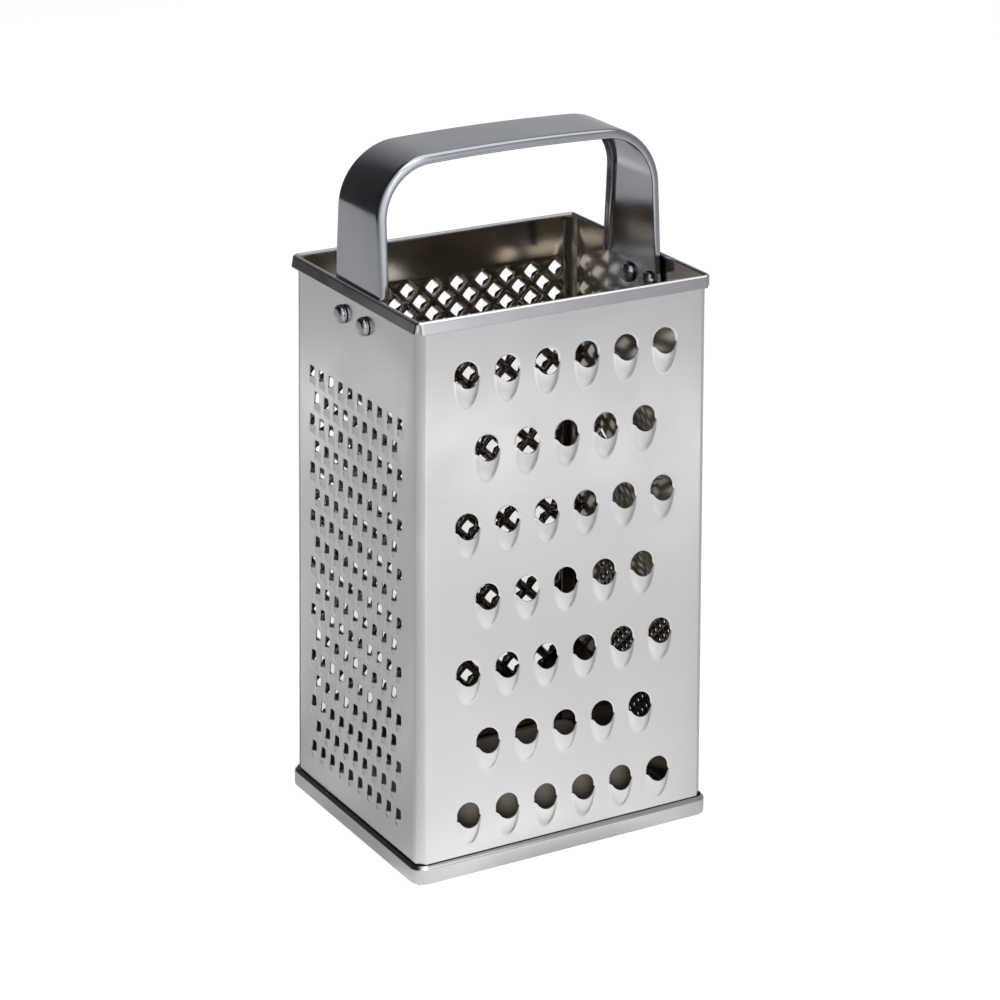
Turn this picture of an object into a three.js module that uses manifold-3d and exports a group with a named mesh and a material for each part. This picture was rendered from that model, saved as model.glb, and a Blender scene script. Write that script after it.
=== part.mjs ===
// Four-sided kitchen grater, in millimetres, +Z up.
// Four punched sheet panels make a tapered box, open at both ends. Each long corner is a lapped seam.
// A cap strip closes the upper edge, a base ring holds the lower edge, and a strap handle bent to a
// fixed arch is riveted inside the two side walls. The origin is the centre of the foot print.
import * as THREE from 'three';
import { mergeGeometries, mergeVertices } from 'three/addons/utils/BufferGeometryUtils.js';
import { ConvexGeometry } from 'three/addons/geometries/ConvexGeometry.js';
import Module from 'manifold-3d';

const wasm = await Module();
wasm.setup();

// Box
const FOOT_WIDTH = 106.1; // outside of the side walls, taken down to the floor
const FOOT_DEPTH = 86.0; // outside of the front and back walls, taken down to the floor
const BODY_HEIGHT = 183.7; // floor to the top of the cap strip
const WALL_SLOPE = 0.0108; // every wall leans in by this much for each unit of height
const SHEET = 0.5;
const CLEARANCE = 0.3; // between pieces that touch
const CORNER_CHAMFER = 2.5; // set-back of the flat across each long corner
const SEAM_OVERHANG = 0.1; // how far the outer seam edge stands past the side wall

// Base ring
const RING_STANDOUT = 1.45; // ring face to wall face
const RING_SHEET = 0.6;
const RING_WALL_HEIGHT = 4.9;
const RING_LEDGE_HEIGHT = 6.3;
const RING_LIP_INSIDE = 1.8; // how far the ring's floor reaches inside the wall face
const RING_CORNER_RADIUS = 3.2; // at the wall face
const RING_SEAT_GAP = 0.4; // ledge edge to wall face

// Cap strip
const CAP_SHEET = 0.5;
const CAP_DEPTH = 3.9;
const CAP_STANDOUT = 1.5; // lower edge of the strip to the wall face
const CAP_CROWN_WIDTH = 0.9; // wall face to the outer bend at the top
const CAP_SEAT_GAP = 0.45; // strip to wall face, under the crown
const CAP_CORNER_RADIUS = 1.2; // at the wall face

// Coarse holes, front wall
const COARSE_COLUMNS = 6;
const COARSE_PITCH = 14.0;
const COARSE_ROW_PITCH = 24.14;
const COARSE_TOP_DROP = 19.9; // mouth to the slits beside the first blades
const COARSE_FOOT_MARGIN = 16.0; // no slit lies lower
const COARSE_HOLE_RADIUS = 4.0;
const COARSE_HOLE_RISE = 1.2; // hole centre above the slits
const COARSE_SCOOP_WIDTH = 8.8;
const COARSE_SCOOP_LENGTH = 9.5;
const COARSE_SCOOP_HEIGHT = 1.35;

// Fine holes, left wall
const FINE_COLUMNS = 10;
const FINE_PITCH = 6.49;
const FINE_ROW_PITCH = 8.1;
const FINE_TOP_DROP = 36.7; // mouth to the first row of cutting lips
const FINE_FOOT_MARGIN = 14.0; // no lip lies lower
const FINE_HOLE_WIDTH = 3.1;
const FINE_HOLE_HEIGHT = 3.3;
const FINE_HOLE_CROWN = 2.0; // width of the flat at the top of the hole
const FINE_TOOTH_HEIGHT = 0.8;
const FINE_TOOTH_LENGTH = 2.8;

// Crown holes, back wall
const CROWN_COLUMNS = 10;
const CROWN_PITCH = 9.25;
const CROWN_ROW_PITCH = 4.54;
const CROWN_TOP_DROP = 18.1; // mouth to the centres of the first row
const CROWN_FOOT_MARGIN = 24.0; // no hole centre lies lower
const CROWN_SHIFT = -0.8; // middle of the field from the middle of the wall, seen from outside
const CROWN_DIAGONAL = 5.4;

// Slicing slots and rasp holes, right wall
const SLOT_LENGTH = 58.0;
const SLOT_WIDTH = 3.2;
const SLOT_TILT = 39.0; // degrees from level, rising towards the back
const SLOT_DROPS = [52.7, 88.7]; // mouth to each slot at mid width
const SLOT_LIP_HEIGHT = 1.3;
const SLOT_LIP_LENGTH = 9.0;
const RASP_COLUMNS = 9;
const RASP_PITCH = 5.1;
const RASP_ROW_PITCH = 2.45;
const RASP_TOP_DROP = 117.7; // mouth to the first row
const RASP_FOOT_MARGIN = 18.0; // no hole lies lower
const RASP_HOLE_RADIUS = 0.6;

// Handle
const HANDLE_RISE = 42.6; // mouth to the top of the grip, outside
const TONGUE_DROP = 18.7; // mouth to the lower end of each tongue
const HANDLE_CORNER_RADIUS = 19.45; // outside
const HANDLE_CROWN_RADIUS = 750.0; // slow curve of the grip, outside
const HANDLE_TOP_WIDTH = 24.7;
const HANDLE_FOOT_WIDTH = 31.0; // at the mouth of the box
const STRAP_SHEET = 0.8;
const FLANGE_DEPTH = 3.0; // outside of the strap to the flange edge
const FLANGE_DROP = 6.1; // mouth to the flanges' ends, above the rivets
const STRAP_EDGE_RADIUS = 1.2;
const STRAP_INNER_FILLET = 0.5;

// Rivets
const RIVET_DROP = 10.5; // mouth to the rivets' axes
const RIVET_SPACING = { left: 14.6, right: 11.8 };
const RIVET_SHIFT = { left: -0.3, right: -2.7 }; // pair centre, seen from outside, towards the right
const RIVET_SHANK_RADIUS = 1.6;
const RIVET_BUTTON_RADIUS = 3.0;
const RIVET_BUTTON_HEIGHT = 2.0;
const RIVET_BUTTON_EDGE = 1.0;
const RIVET_DOME_RADIUS = 3.4;
const RIVET_DOME_HEIGHT = 2.3;

// Facets of the curved surfaces
const ROUND_SIDES = 12;
const COARSE_HOLE_SIDES = 8;
const COARSE_SCOOP_BANDS = 4;
const CROWN_HOLE_SIDES = 4;
const RASP_HOLE_SIDES = 3;
const STRIP_CORNER_STEPS = 4;
const STRAP_EDGE_STEPS = 3;
const HANDLE_CORNER_STEPS = 8;
const HANDLE_CROWN_STEPS = 3;
const RIVET_DOME_STEPS = 4;
const MERGE_DISTANCE = 1e-4; // corners nearer than this are one corner

// Heights that follow from the mouth
const HANDLE_TOP = BODY_HEIGHT + HANDLE_RISE;
const HANDLE_END = BODY_HEIGHT - TONGUE_DROP;
const FLANGE_END = BODY_HEIGHT - FLANGE_DROP;
const RIVET_HEIGHT = BODY_HEIGHT - RIVET_DROP;

// Directions of the four walls, turned about Z from the front
const WALL_TURN = { front: 0, right: Math.PI / 2, back: Math.PI, left: -Math.PI / 2 };
const WALL_LEAN = Math.atan(WALL_SLOPE);
const DIAGONAL = Math.SQRT1_2;
const PANEL_FOOT = RING_SHEET + CLEARANCE;
const PANEL_TOP = BODY_HEIGHT - CAP_SHEET - CLEARANCE;

const STEEL = { colour: 0xc9c9cb, roughness: 0.28, metalness: 1.0 };
const BRIGHT_STEEL = { colour: 0xb9bac0, roughness: 0.18, metalness: 1.0 };
const RIVET_STEEL = { colour: 0x9a9a9e, roughness: 0.22, metalness: 1.0 };

// Solids and meshes

function toSolid(geometry) {
  const bare = geometry.clone();
  bare.deleteAttribute('normal');
  bare.deleteAttribute('uv');
  const merged = mergeVertices(bare, MERGE_DISTANCE);
  const mesh = new wasm.Mesh({
    numProp: 3,
    vertProperties: new Float32Array(merged.attributes.position.array),
    triVerts: new Uint32Array(merged.index.array),
  });
  return new wasm.Manifold(mesh);
}

function toGeometry(solid) {
  const mesh = solid.getMesh();
  const geometry = new THREE.BufferGeometry();
  geometry.setAttribute('position', new THREE.BufferAttribute(mesh.vertProperties, 3));
  geometry.setIndex(new THREE.BufferAttribute(mesh.triVerts, 1));
  geometry.computeVertexNormals();
  return geometry;
}

function toMesh(name, geometry, finish) {
  const material = new THREE.MeshStandardMaterial({
    color: finish.colour,
    roughness: finish.roughness,
    metalness: finish.metalness,
  });
  const mesh = new THREE.Mesh(geometry, material);
  mesh.name = name;
  return mesh;
}

// Copies of one closed shape at many places that don't meet, as one solid
function copies(shape, places) {
  return toSolid(mergeGeometries(places.map(([x, z]) => shape.clone().translate(x, 0, z))));
}

// Walls

// Each wall has its own frame: x across it, y into the box from its outer face, z up along it.
function wallFrame(side) {
  const depth = side === 'front' || side === 'back' ? FOOT_DEPTH : FOOT_WIDTH;
  const turn = new THREE.Group();
  turn.rotation.z = WALL_TURN[side];
  const lean = new THREE.Group();
  lean.position.y = -depth / 2;
  lean.rotation.x = -WALL_LEAN;
  turn.add(lean);
  turn.updateMatrixWorld(true);
  return { turn, lean };
}

const walls = {};
for (const side of Object.keys(WALL_TURN)) {
  walls[side] = wallFrame(side);
}

// One half of a level section through a wall, from its outer bend to its inner bend.
// Front and back walls carry the outer flat of each corner.
function outerSeam(half) {
  const bend = half - CORNER_CHAMFER;
  const tip = half + SEAM_OVERHANG;
  const tipDepth = CORNER_CHAMFER + SEAM_OVERHANG;
  return [
    [bend, 0],
    [tip, tipDepth],
    [tip - SHEET * DIAGONAL, tipDepth + SHEET * DIAGONAL],
    [bend - SHEET * (Math.SQRT2 - 1), SHEET],
  ];
}

// Side walls carry the inner flat, which lies behind the outer one with a clearance.
function innerSeam(half) {
  const setBack = SHEET + CLEARANCE;
  const bend = half - CORNER_CHAMFER - setBack * Math.SQRT2;
  const tip = half - setBack;
  const tipDepth = tip - bend;
  return [
    [bend, 0],
    [tip, tipDepth],
    [tip - SHEET * DIAGONAL, tipDepth + SHEET * DIAGONAL],
    [bend - SHEET * (Math.SQRT2 - 1), SHEET],
  ];
}

// A wall before punching: its section narrows with height as the neighbouring walls lean in.
function wallBlank(footWidth, seam) {
  const right = seam(footWidth / 2);
  const left = right.map(([x, y]) => [-x, y]).reverse();
  const outline = [...right, ...left].map(([x, y]) => new THREE.Vector2(x, y));
  const blank = new THREE.ExtrudeGeometry(new THREE.Shape(outline), {
    depth: PANEL_TOP - PANEL_FOOT,
    bevelEnabled: false,
  });
  blank.translate(0, 0, PANEL_FOOT);
  const position = blank.attributes.position;
  for (let i = 0; i < position.count; i += 1) {
    const x = position.getX(i);
    position.setX(i, x - Math.sign(x) * WALL_SLOPE * position.getZ(i));
  }
  return toSolid(blank);
}

// Staggered rows from below the mouth down to the foot margin: every second row is shifted by
// half a pitch and, where asked, one hole shorter.
function staggered({ columns, pitch, rowPitch, topDrop, footMargin, shorter }) {
  const top = BODY_HEIGHT - topDrop;
  const rows = 1 + Math.floor((top - footMargin) / rowPitch);
  const places = [];
  for (let row = 0; row < rows; row += 1) {
    const odd = row % 2 === 1;
    const count = odd && shorter ? columns - 1 : columns;
    const quarter = odd ? pitch / 4 : -pitch / 4;
    const shift = shorter ? 0 : quarter;
    for (let column = 0; column < count; column += 1) {
      const x = (column - (count - 1) / 2) * pitch + shift;
      places.push([x, top - row * rowPitch]);
    }
  }
  return places;
}

// A punch of the given outline in the wall's own plane, long enough to pass through the sheet
function punch(outline, reach) {
  const shape = new THREE.Shape(outline.map(([x, z]) => new THREE.Vector2(x, z)));
  const bar = new THREE.ExtrudeGeometry(shape, { depth: 2 * reach, bevelEnabled: false });
  bar.rotateX(Math.PI / 2);
  return bar.translate(0, reach, 0);
}

function polygon(radius, sides) {
  return Array.from({ length: sides }, (_, i) => {
    const angle = (2 * Math.PI * i) / sides + Math.PI / 2;
    return [radius * Math.cos(angle), radius * Math.sin(angle)];
  });
}

// Part of an ellipsoid below the level of the slits, kept as far into the box as asked
function scoopHalf(width, height, length, inward) {
  const ball = new THREE.SphereGeometry(1, COARSE_HOLE_SIDES, COARSE_SCOOP_BANDS);
  ball.rotateX(Math.PI / 2);
  ball.scale(width / 2, height, length);
  const box = new THREE.BoxGeometry(2 * width, 2 * height, 2 * length);
  box.translate(0, inward - height, -length);
  return toGeometry(toSolid(ball).intersect(toSolid(box)));
}

function coarsePanel() {
  const places = staggered({
    columns: COARSE_COLUMNS,
    pitch: COARSE_PITCH,
    rowPitch: COARSE_ROW_PITCH,
    topDrop: COARSE_TOP_DROP,
    footMargin: COARSE_FOOT_MARGIN,
    shorter: true,
  });
  const reach = COARSE_SCOOP_HEIGHT + 2 * SHEET;
  const scoop = scoopHalf(
    COARSE_SCOOP_WIDTH,
    COARSE_SCOOP_HEIGHT + SHEET,
    COARSE_SCOOP_LENGTH,
    SHEET / 2,
  );
  const hollow = scoopHalf(
    COARSE_SCOOP_WIDTH - 2 * SHEET,
    COARSE_SCOOP_HEIGHT,
    COARSE_SCOOP_LENGTH - SHEET,
    2 * SHEET,
  );
  const hole = punch(polygon(COARSE_HOLE_RADIUS, COARSE_HOLE_SIDES), reach);
  hole.translate(0, 0, COARSE_HOLE_RISE);
  return wallBlank(FOOT_WIDTH, outerSeam)
    .add(copies(scoop, places))
    .subtract(copies(hollow, places))
    .subtract(copies(hole, places));
}

function finePanel() {
  const places = staggered({
    columns: FINE_COLUMNS,
    pitch: FINE_PITCH,
    rowPitch: FINE_ROW_PITCH,
    topDrop: FINE_TOP_DROP,
    footMargin: FINE_FOOT_MARGIN,
    shorter: true,
  });
  const half = FINE_HOLE_WIDTH / 2;
  const hole = punch([
    [-half, 0],
    [half, 0],
    [FINE_HOLE_CROWN / 2, FINE_HOLE_HEIGHT],
    [-FINE_HOLE_CROWN / 2, FINE_HOLE_HEIGHT],
  ], FINE_TOOTH_HEIGHT + SHEET);
  const root = SHEET / 2;
  const tooth = new ConvexGeometry([
    new THREE.Vector3(-half, root, 0),
    new THREE.Vector3(half, root, 0),
    new THREE.Vector3(0, -FINE_TOOTH_HEIGHT, 0),
    new THREE.Vector3(0, root, -FINE_TOOTH_LENGTH),
  ]);
  return wallBlank(FOOT_DEPTH, innerSeam)
    .add(copies(tooth, places))
    .subtract(copies(hole, places));
}

function crownPanel() {
  const places = staggered({
    columns: CROWN_COLUMNS,
    pitch: CROWN_PITCH,
    rowPitch: CROWN_ROW_PITCH,
    topDrop: CROWN_TOP_DROP,
    footMargin: CROWN_FOOT_MARGIN,
    shorter: false,
  });
  const hole = punch(polygon(CROWN_DIAGONAL / 2, CROWN_HOLE_SIDES), 2 * SHEET);
  hole.translate(CROWN_SHIFT, 0, 0);
  return wallBlank(FOOT_WIDTH, outerSeam).subtract(copies(hole, places));
}

// A long slot whose lower lip is raised as a hollow ramp, level along its own x
function slicer() {
  const half = SLOT_LENGTH / 2;
  const ramp = (inset, height) => new ConvexGeometry([
    new THREE.Vector3(-half + inset, SHEET, 0),
    new THREE.Vector3(half - inset, SHEET, 0),
    new THREE.Vector3(-half + SLOT_LIP_LENGTH / 2, -height, 0),
    new THREE.Vector3(half - SLOT_LIP_LENGTH / 2, -height, 0),
    new THREE.Vector3(-half + SLOT_LIP_LENGTH, SHEET, -SLOT_LIP_LENGTH + inset),
    new THREE.Vector3(half - SLOT_LIP_LENGTH, SHEET, -SLOT_LIP_LENGTH + inset),
  ]);
  const hollow = ramp(2 * SHEET, SLOT_LIP_HEIGHT);
  hollow.translate(0, SHEET, 0);
  const slot = punch([
    [-half, 0],
    [half, 0],
    [half, SLOT_WIDTH],
    [-half, SLOT_WIDTH],
  ], SLOT_LIP_HEIGHT + 2 * SHEET);
  return { ramp: ramp(0, SLOT_LIP_HEIGHT + SHEET), hollow, slot };
}

function slicerPanel() {
  const tools = slicer();
  const tilt = new THREE.Matrix4().makeRotationY(-THREE.MathUtils.degToRad(SLOT_TILT));
  for (const tool of Object.values(tools)) {
    tool.applyMatrix4(tilt);
  }
  const slots = SLOT_DROPS.map((drop) => [0, BODY_HEIGHT - drop]);
  const rasp = staggered({
    columns: RASP_COLUMNS,
    pitch: RASP_PITCH,
    rowPitch: RASP_ROW_PITCH,
    topDrop: RASP_TOP_DROP,
    footMargin: RASP_FOOT_MARGIN,
    shorter: true,
  });
  const hole = punch(polygon(RASP_HOLE_RADIUS, RASP_HOLE_SIDES), 2 * SHEET);
  return wallBlank(FOOT_DEPTH, innerSeam)
    .add(copies(tools.ramp, slots))
    .subtract(copies(tools.hollow, slots))
    .subtract(copies(tools.slot, slots))
    .subtract(copies(hole, rasp));
}

// Strips that run round the box

// A section of [distance out from the wall face, height] points, carried round a rounded rectangle
function strip(section, height, cornerRadius) {
  const halfX = FOOT_WIDTH / 2 - WALL_SLOPE * height - cornerRadius;
  const halfY = FOOT_DEPTH / 2 - WALL_SLOPE * height - cornerRadius;
  const centres = [[halfX, halfY], [-halfX, halfY], [-halfX, -halfY], [halfX, -halfY]];
  const stations = centres.flatMap(([x, y], corner) =>
    Array.from({ length: STRIP_CORNER_STEPS + 1 }, (_, step) => {
      const angle = (corner + step / STRIP_CORNER_STEPS) * (Math.PI / 2);
      return { x, y, cos: Math.cos(angle), sin: Math.sin(angle) };
    }));
  const points = stations.flatMap(({ x, y, cos, sin }) =>
    section.flatMap(([out, z]) => {
      const radius = cornerRadius + out;
      return [x + radius * cos, y + radius * sin, height + z];
    }));
  const indices = [];
  stations.forEach((_, station) => {
    const next = (station + 1) % stations.length;
    section.forEach((__, i) => {
      const j = (i + 1) % section.length;
      const a = station * section.length + i;
      const b = station * section.length + j;
      const c = next * section.length + j;
      const d = next * section.length + i;
      indices.push(a, d, c, a, c, b);
    });
  });
  const geometry = new THREE.BufferGeometry();
  geometry.setAttribute('position', new THREE.Float32BufferAttribute(points, 3));
  geometry.setIndex(indices);
  geometry.computeVertexNormals();
  return geometry;
}

// Floor, upright face and an inward ledge, with the walls standing in the open channel
function baseRing() {
  const face = RING_STANDOUT;
  const inner = face - RING_SHEET;
  const bend = RING_SHEET;
  const section = [
    [-RING_LIP_INSIDE, 0],
    [face - bend / 2, 0],
    [face, bend / 2],
    [face, RING_WALL_HEIGHT],
    [face - bend / 2, RING_WALL_HEIGHT + bend],
    [RING_SEAT_GAP, RING_LEDGE_HEIGHT],
    [RING_SEAT_GAP, RING_LEDGE_HEIGHT - RING_SHEET],
    [inner, RING_WALL_HEIGHT],
    [inner, RING_SHEET],
    [-RING_LIP_INSIDE, RING_SHEET],
  ];
  return strip(section, 0, RING_CORNER_RADIUS);
}

// A crown over the upper edges and a leg that leans out on the outside
function capStrip() {
  const edge = CAP_SHEET / 2;
  const crown = CAP_CROWN_WIDTH;
  const seat = CAP_SEAT_GAP;
  const section = [
    [-SHEET, -CAP_SHEET],
    [seat, -CAP_SHEET],
    [seat, -CAP_SHEET - edge],
    [CAP_STANDOUT - CAP_SHEET, -CAP_DEPTH],
    [CAP_STANDOUT, -CAP_DEPTH],
    [crown, -CAP_SHEET],
    [crown - edge, -edge / 2],
    [seat, 0],
    [edge - SHEET, 0],
    [-SHEET, -edge],
  ];
  return strip(section, BODY_HEIGHT, CAP_CORNER_RADIUS);
}

// Handle

// Outer line of the strap in the XZ plane: each station has a point and the direction into the bend.
// The legs run along the side walls, and the corners are tangent to them and to the slow top curve.
function strapStations() {
  const stretch = Math.hypot(1, WALL_SLOPE);
  const legFoot = FOOT_WIDTH / 2 - (SHEET + CLEARANCE) * stretch;
  const legAt = (z) => legFoot - WALL_SLOPE * z;
  const crownCentre = HANDLE_TOP - HANDLE_CROWN_RADIUS;
  const reach = HANDLE_CROWN_RADIUS - HANDLE_CORNER_RADIUS;
  const offset = legFoot - HANDLE_CORNER_RADIUS * stretch;
  const a = stretch * stretch;
  const b = offset * WALL_SLOPE + crownCentre;
  const c = offset * offset + crownCentre * crownCentre - reach * reach;
  const cornerZ = (b + Math.sqrt(b * b - a * c)) / a;
  const cornerX = offset - WALL_SLOPE * cornerZ;
  const crownAngle = Math.atan2(cornerX, cornerZ - crownCentre);
  const stations = [];
  const add = (x, z, angle) => {
    stations.push({ x, z, inX: -Math.cos(angle), inZ: -Math.sin(angle) });
  };
  const arcStart = cornerZ + HANDLE_CORNER_RADIUS * Math.sin(WALL_LEAN);
  for (const z of [HANDLE_END, FLANGE_END, (FLANGE_END + arcStart) / 2]) {
    add(legAt(z), z, WALL_LEAN);
  }
  const crownStart = Math.PI / 2 - crownAngle;
  for (let i = 0; i <= HANDLE_CORNER_STEPS; i += 1) {
    const angle = THREE.MathUtils.lerp(WALL_LEAN, crownStart, i / HANDLE_CORNER_STEPS);
    const x = cornerX + HANDLE_CORNER_RADIUS * Math.cos(angle);
    add(x, cornerZ + HANDLE_CORNER_RADIUS * Math.sin(angle), angle);
  }
  for (let i = 1; i <= HANDLE_CROWN_STEPS; i += 1) {
    const angle = THREE.MathUtils.lerp(crownStart, Math.PI / 2, i / HANDLE_CROWN_STEPS);
    const x = HANDLE_CROWN_RADIUS * Math.cos(angle);
    add(x, crownCentre + HANDLE_CROWN_RADIUS * Math.sin(angle), angle);
  }
  const mirrored = stations.slice(0, -1).reverse();
  return [...stations, ...mirrored.map((s) => ({ x: -s.x, z: s.z, inX: -s.inX, inZ: s.inZ }))];
}

// Channel section of the strap: [across, depth from the outer face]
function strapSection(half) {
  const edge = Array.from({ length: STRAP_EDGE_STEPS + 1 }, (_, i) => {
    const angle = (i / STRAP_EDGE_STEPS) * (Math.PI / 2);
    return [
      half - STRAP_EDGE_RADIUS * (1 - Math.sin(angle)),
      STRAP_EDGE_RADIUS * (1 - Math.cos(angle)),
    ];
  });
  const inside = half - STRAP_SHEET;
  const right = [
    ...edge,
    [half, FLANGE_DEPTH],
    [inside, FLANGE_DEPTH],
    [inside, STRAP_SHEET + STRAP_INNER_FILLET],
    [inside - STRAP_INNER_FILLET, STRAP_SHEET],
  ];
  return [...right, ...right.map(([y, d]) => [-y, d]).reverse()];
}

function strapWidth(z) {
  const share = (HANDLE_TOP - z) / (HANDLE_TOP - BODY_HEIGHT);
  return THREE.MathUtils.lerp(HANDLE_TOP_WIDTH, HANDLE_FOOT_WIDTH, share);
}

function strapSweep() {
  const stations = strapStations();
  const rings = stations.map(({ x, z, inX, inZ }) =>
    strapSection(strapWidth(z) / 2).map(([y, d]) => [x + inX * d, y, z + inZ * d]));
  const count = rings[0].length;
  const indices = [];
  for (let ring = 0; ring + 1 < rings.length; ring += 1) {
    for (let i = 0; i < count; i += 1) {
      const j = (i + 1) % count;
      const a = ring * count + i;
      const b = ring * count + j;
      indices.push(a, b, b + count, a, b + count, a + count);
    }
  }
  const flat = strapSection(strapWidth(HANDLE_END) / 2).map(([y, d]) => new THREE.Vector2(y, d));
  const lastRing = (rings.length - 1) * count;
  for (const [i, j, k] of THREE.ShapeUtils.triangulateShape(flat, [])) {
    indices.push(i, k, j);
    indices.push(lastRing + i, lastRing + j, lastRing + k);
  }
  const geometry = new THREE.BufferGeometry();
  geometry.setAttribute('position', new THREE.Float32BufferAttribute(rings.flat(2), 3));
  geometry.setIndex(indices);
  return geometry;
}

function rivetPlaces(side) {
  const half = RIVET_SPACING[side] / 2;
  return [-half, half].map((x) => [x + RIVET_SHIFT[side], RIVET_HEIGHT]);
}

function rivetHoles(side) {
  const radius = RIVET_SHANK_RADIUS + CLEARANCE;
  const hole = punch(polygon(radius, ROUND_SIDES), 2 * (SHEET + CLEARANCE + STRAP_SHEET));
  return mergeGeometries(rivetPlaces(side).map(([x, z]) => hole.clone().translate(x, 0, z)));
}

// Space below the square ends of the flanges, behind the flat tongue that lies on a side wall
function flangeCut() {
  const tongueBack = SHEET + CLEARANCE + STRAP_SHEET;
  const drop = 2 * (FLANGE_END - HANDLE_END);
  const cut = new THREE.BoxGeometry(2 * HANDLE_FOOT_WIDTH, FLANGE_DEPTH, drop);
  return cut.translate(0, tongueBack + FLANGE_DEPTH / 2, FLANGE_END - drop / 2);
}

function handle() {
  let strap = toSolid(strapSweep());
  for (const side of ['left', 'right']) {
    const matrix = walls[side].lean.matrixWorld;
    strap = strap
      .subtract(toSolid(flangeCut().applyMatrix4(matrix)))
      .subtract(toSolid(rivetHoles(side).applyMatrix4(matrix)));
  }
  return strap;
}

// Rivets

// One rivet about its own axis: a flat button outside the wall and a dome inside the strap
function rivetShape() {
  const outside = CLEARANCE;
  const inside = SHEET + CLEARANCE + STRAP_SHEET + CLEARANCE;
  const buttonFace = outside + RIVET_BUTTON_HEIGHT;
  const profile = [
    [0, -buttonFace],
    [RIVET_BUTTON_RADIUS - RIVET_BUTTON_EDGE, -buttonFace],
    [RIVET_BUTTON_RADIUS, -buttonFace + RIVET_BUTTON_EDGE],
    [RIVET_BUTTON_RADIUS, -outside],
    [RIVET_SHANK_RADIUS, -outside],
    [RIVET_SHANK_RADIUS, inside],
  ];
  for (let i = 0; i <= RIVET_DOME_STEPS; i += 1) {
    const angle = (i / RIVET_DOME_STEPS) * (Math.PI / 2);
    const radius = i === RIVET_DOME_STEPS ? 0 : RIVET_DOME_RADIUS * Math.cos(angle);
    profile.push([radius, inside + RIVET_DOME_HEIGHT * Math.sin(angle)]);
  }
  const points = profile.map(([radius, y]) => new THREE.Vector2(radius, y));
  return new THREE.LatheGeometry(points, ROUND_SIDES);
}

// Assembly

const grater = new THREE.Group();
for (const wall of Object.values(walls)) {
  grater.add(wall.turn);
}

function addPanel(side, name, solid) {
  walls[side].lean.add(toMesh(name, toGeometry(solid), STEEL));
}

addPanel('front', 'coarse_panel', coarsePanel());
addPanel('back', 'crown_panel', crownPanel());
addPanel('left', 'fine_panel', finePanel().subtract(toSolid(rivetHoles('left'))));
addPanel('right', 'slicer_panel', slicerPanel().subtract(toSolid(rivetHoles('right'))));

grater.add(toMesh('base_ring', baseRing(), BRIGHT_STEEL));
grater.add(toMesh('cap_strip', capStrip(), BRIGHT_STEEL));
grater.add(toMesh('handle', toGeometry(handle()), BRIGHT_STEEL));

for (const side of ['left', 'right']) {
  rivetPlaces(side).forEach(([x, z], index) => {
    const rivet = toMesh(`rivet_${side}_${index + 1}`, rivetShape(), RIVET_STEEL);
    rivet.position.set(x, 0, z);
    walls[side].lean.add(rivet);
  });
}

export default grater;
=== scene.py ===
"""Four-sided kitchen grater of sheet steel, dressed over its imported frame.

A piece is modelled in millimetres. Placing it turns its lengths into metres.
"""

import logging
import math
from collections.abc import Callable, Iterator, Sequence
from contextlib import contextmanager
from dataclasses import dataclass
from enum import Enum

import bmesh
import bpy
from mathutils import Matrix, Vector


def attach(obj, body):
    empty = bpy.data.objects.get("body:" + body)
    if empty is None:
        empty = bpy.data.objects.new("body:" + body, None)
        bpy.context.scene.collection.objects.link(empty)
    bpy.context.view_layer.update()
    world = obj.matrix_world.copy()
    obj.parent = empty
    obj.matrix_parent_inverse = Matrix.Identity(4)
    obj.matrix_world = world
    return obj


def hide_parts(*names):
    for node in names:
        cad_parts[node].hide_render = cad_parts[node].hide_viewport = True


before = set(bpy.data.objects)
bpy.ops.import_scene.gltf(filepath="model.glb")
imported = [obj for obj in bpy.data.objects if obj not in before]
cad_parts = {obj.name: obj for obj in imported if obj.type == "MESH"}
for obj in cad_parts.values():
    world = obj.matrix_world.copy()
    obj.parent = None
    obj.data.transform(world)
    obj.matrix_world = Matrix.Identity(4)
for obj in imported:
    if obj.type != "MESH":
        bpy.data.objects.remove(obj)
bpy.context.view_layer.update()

LOG = logging.getLogger("grater")
MILLIMETRE = 0.001
BODY = "root"
FIRST_RING = 10.0
MERGE_DISTANCE = 0.002
SMOOTH_ANGLE = math.radians(38.0)
INNER_SLOT = 1
# Slot of the brighter steel round the holes' edges, which is partly burnished and partly a painted
# highlight.
BURNISH_AND_HIGHLIGHT_SLOT = 2
FACING_DOWN = -0.9
HALF_TURN = math.pi
QUARTER_TURN = math.pi / 2
EIGHTH_TURN = math.pi / 4
DEGREES_ROUND = 360.0

Colour = tuple[float, float, float]
Place = tuple[float, float, float]
Points = list[tuple[float, float]]
Pairs = tuple[tuple[float, float], ...]
Loop = list[Vector]
Edge = bmesh.types.BMEdge
Piece = bpy.types.Object
Socket = bpy.types.NodeSocket


# Modelling by operators


def select_only(piece: Piece) -> None:
    """Make one piece the only selected and the active one.

    Args:
        piece: The piece that the next operator works on.
    """
    bpy.ops.object.select_all(action="DESELECT")
    piece.select_set(True)
    bpy.context.view_layer.objects.active = piece


def new_primitive(add: Callable, **settings: object) -> Piece:
    """Add a primitive with nothing else selected.

    Args:
        add: The operator that adds it.
        settings: The operator's settings.

    Returns:
        The new piece.
    """
    bpy.ops.object.select_all(action="DESELECT")
    add(**settings)
    return bpy.context.object


def rename(piece: Piece, name: str) -> None:
    """Give a piece and its mesh the same name."""
    piece.name = name
    piece.data.name = name


def apply_modifier(piece: Piece, name: str, kind: str, **settings: object) -> None:
    """Add a modifier to a piece and apply it.

    Args:
        piece: The piece to change.
        name: Name of the modifier.
        kind: Kind of the modifier.
        settings: The modifier's settings.
    """
    select_only(piece)
    modifier = piece.modifiers.new(name, kind)
    for setting, value in settings.items():
        setattr(modifier, setting, value)
    bpy.ops.object.modifier_apply(modifier=modifier.name)


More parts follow.
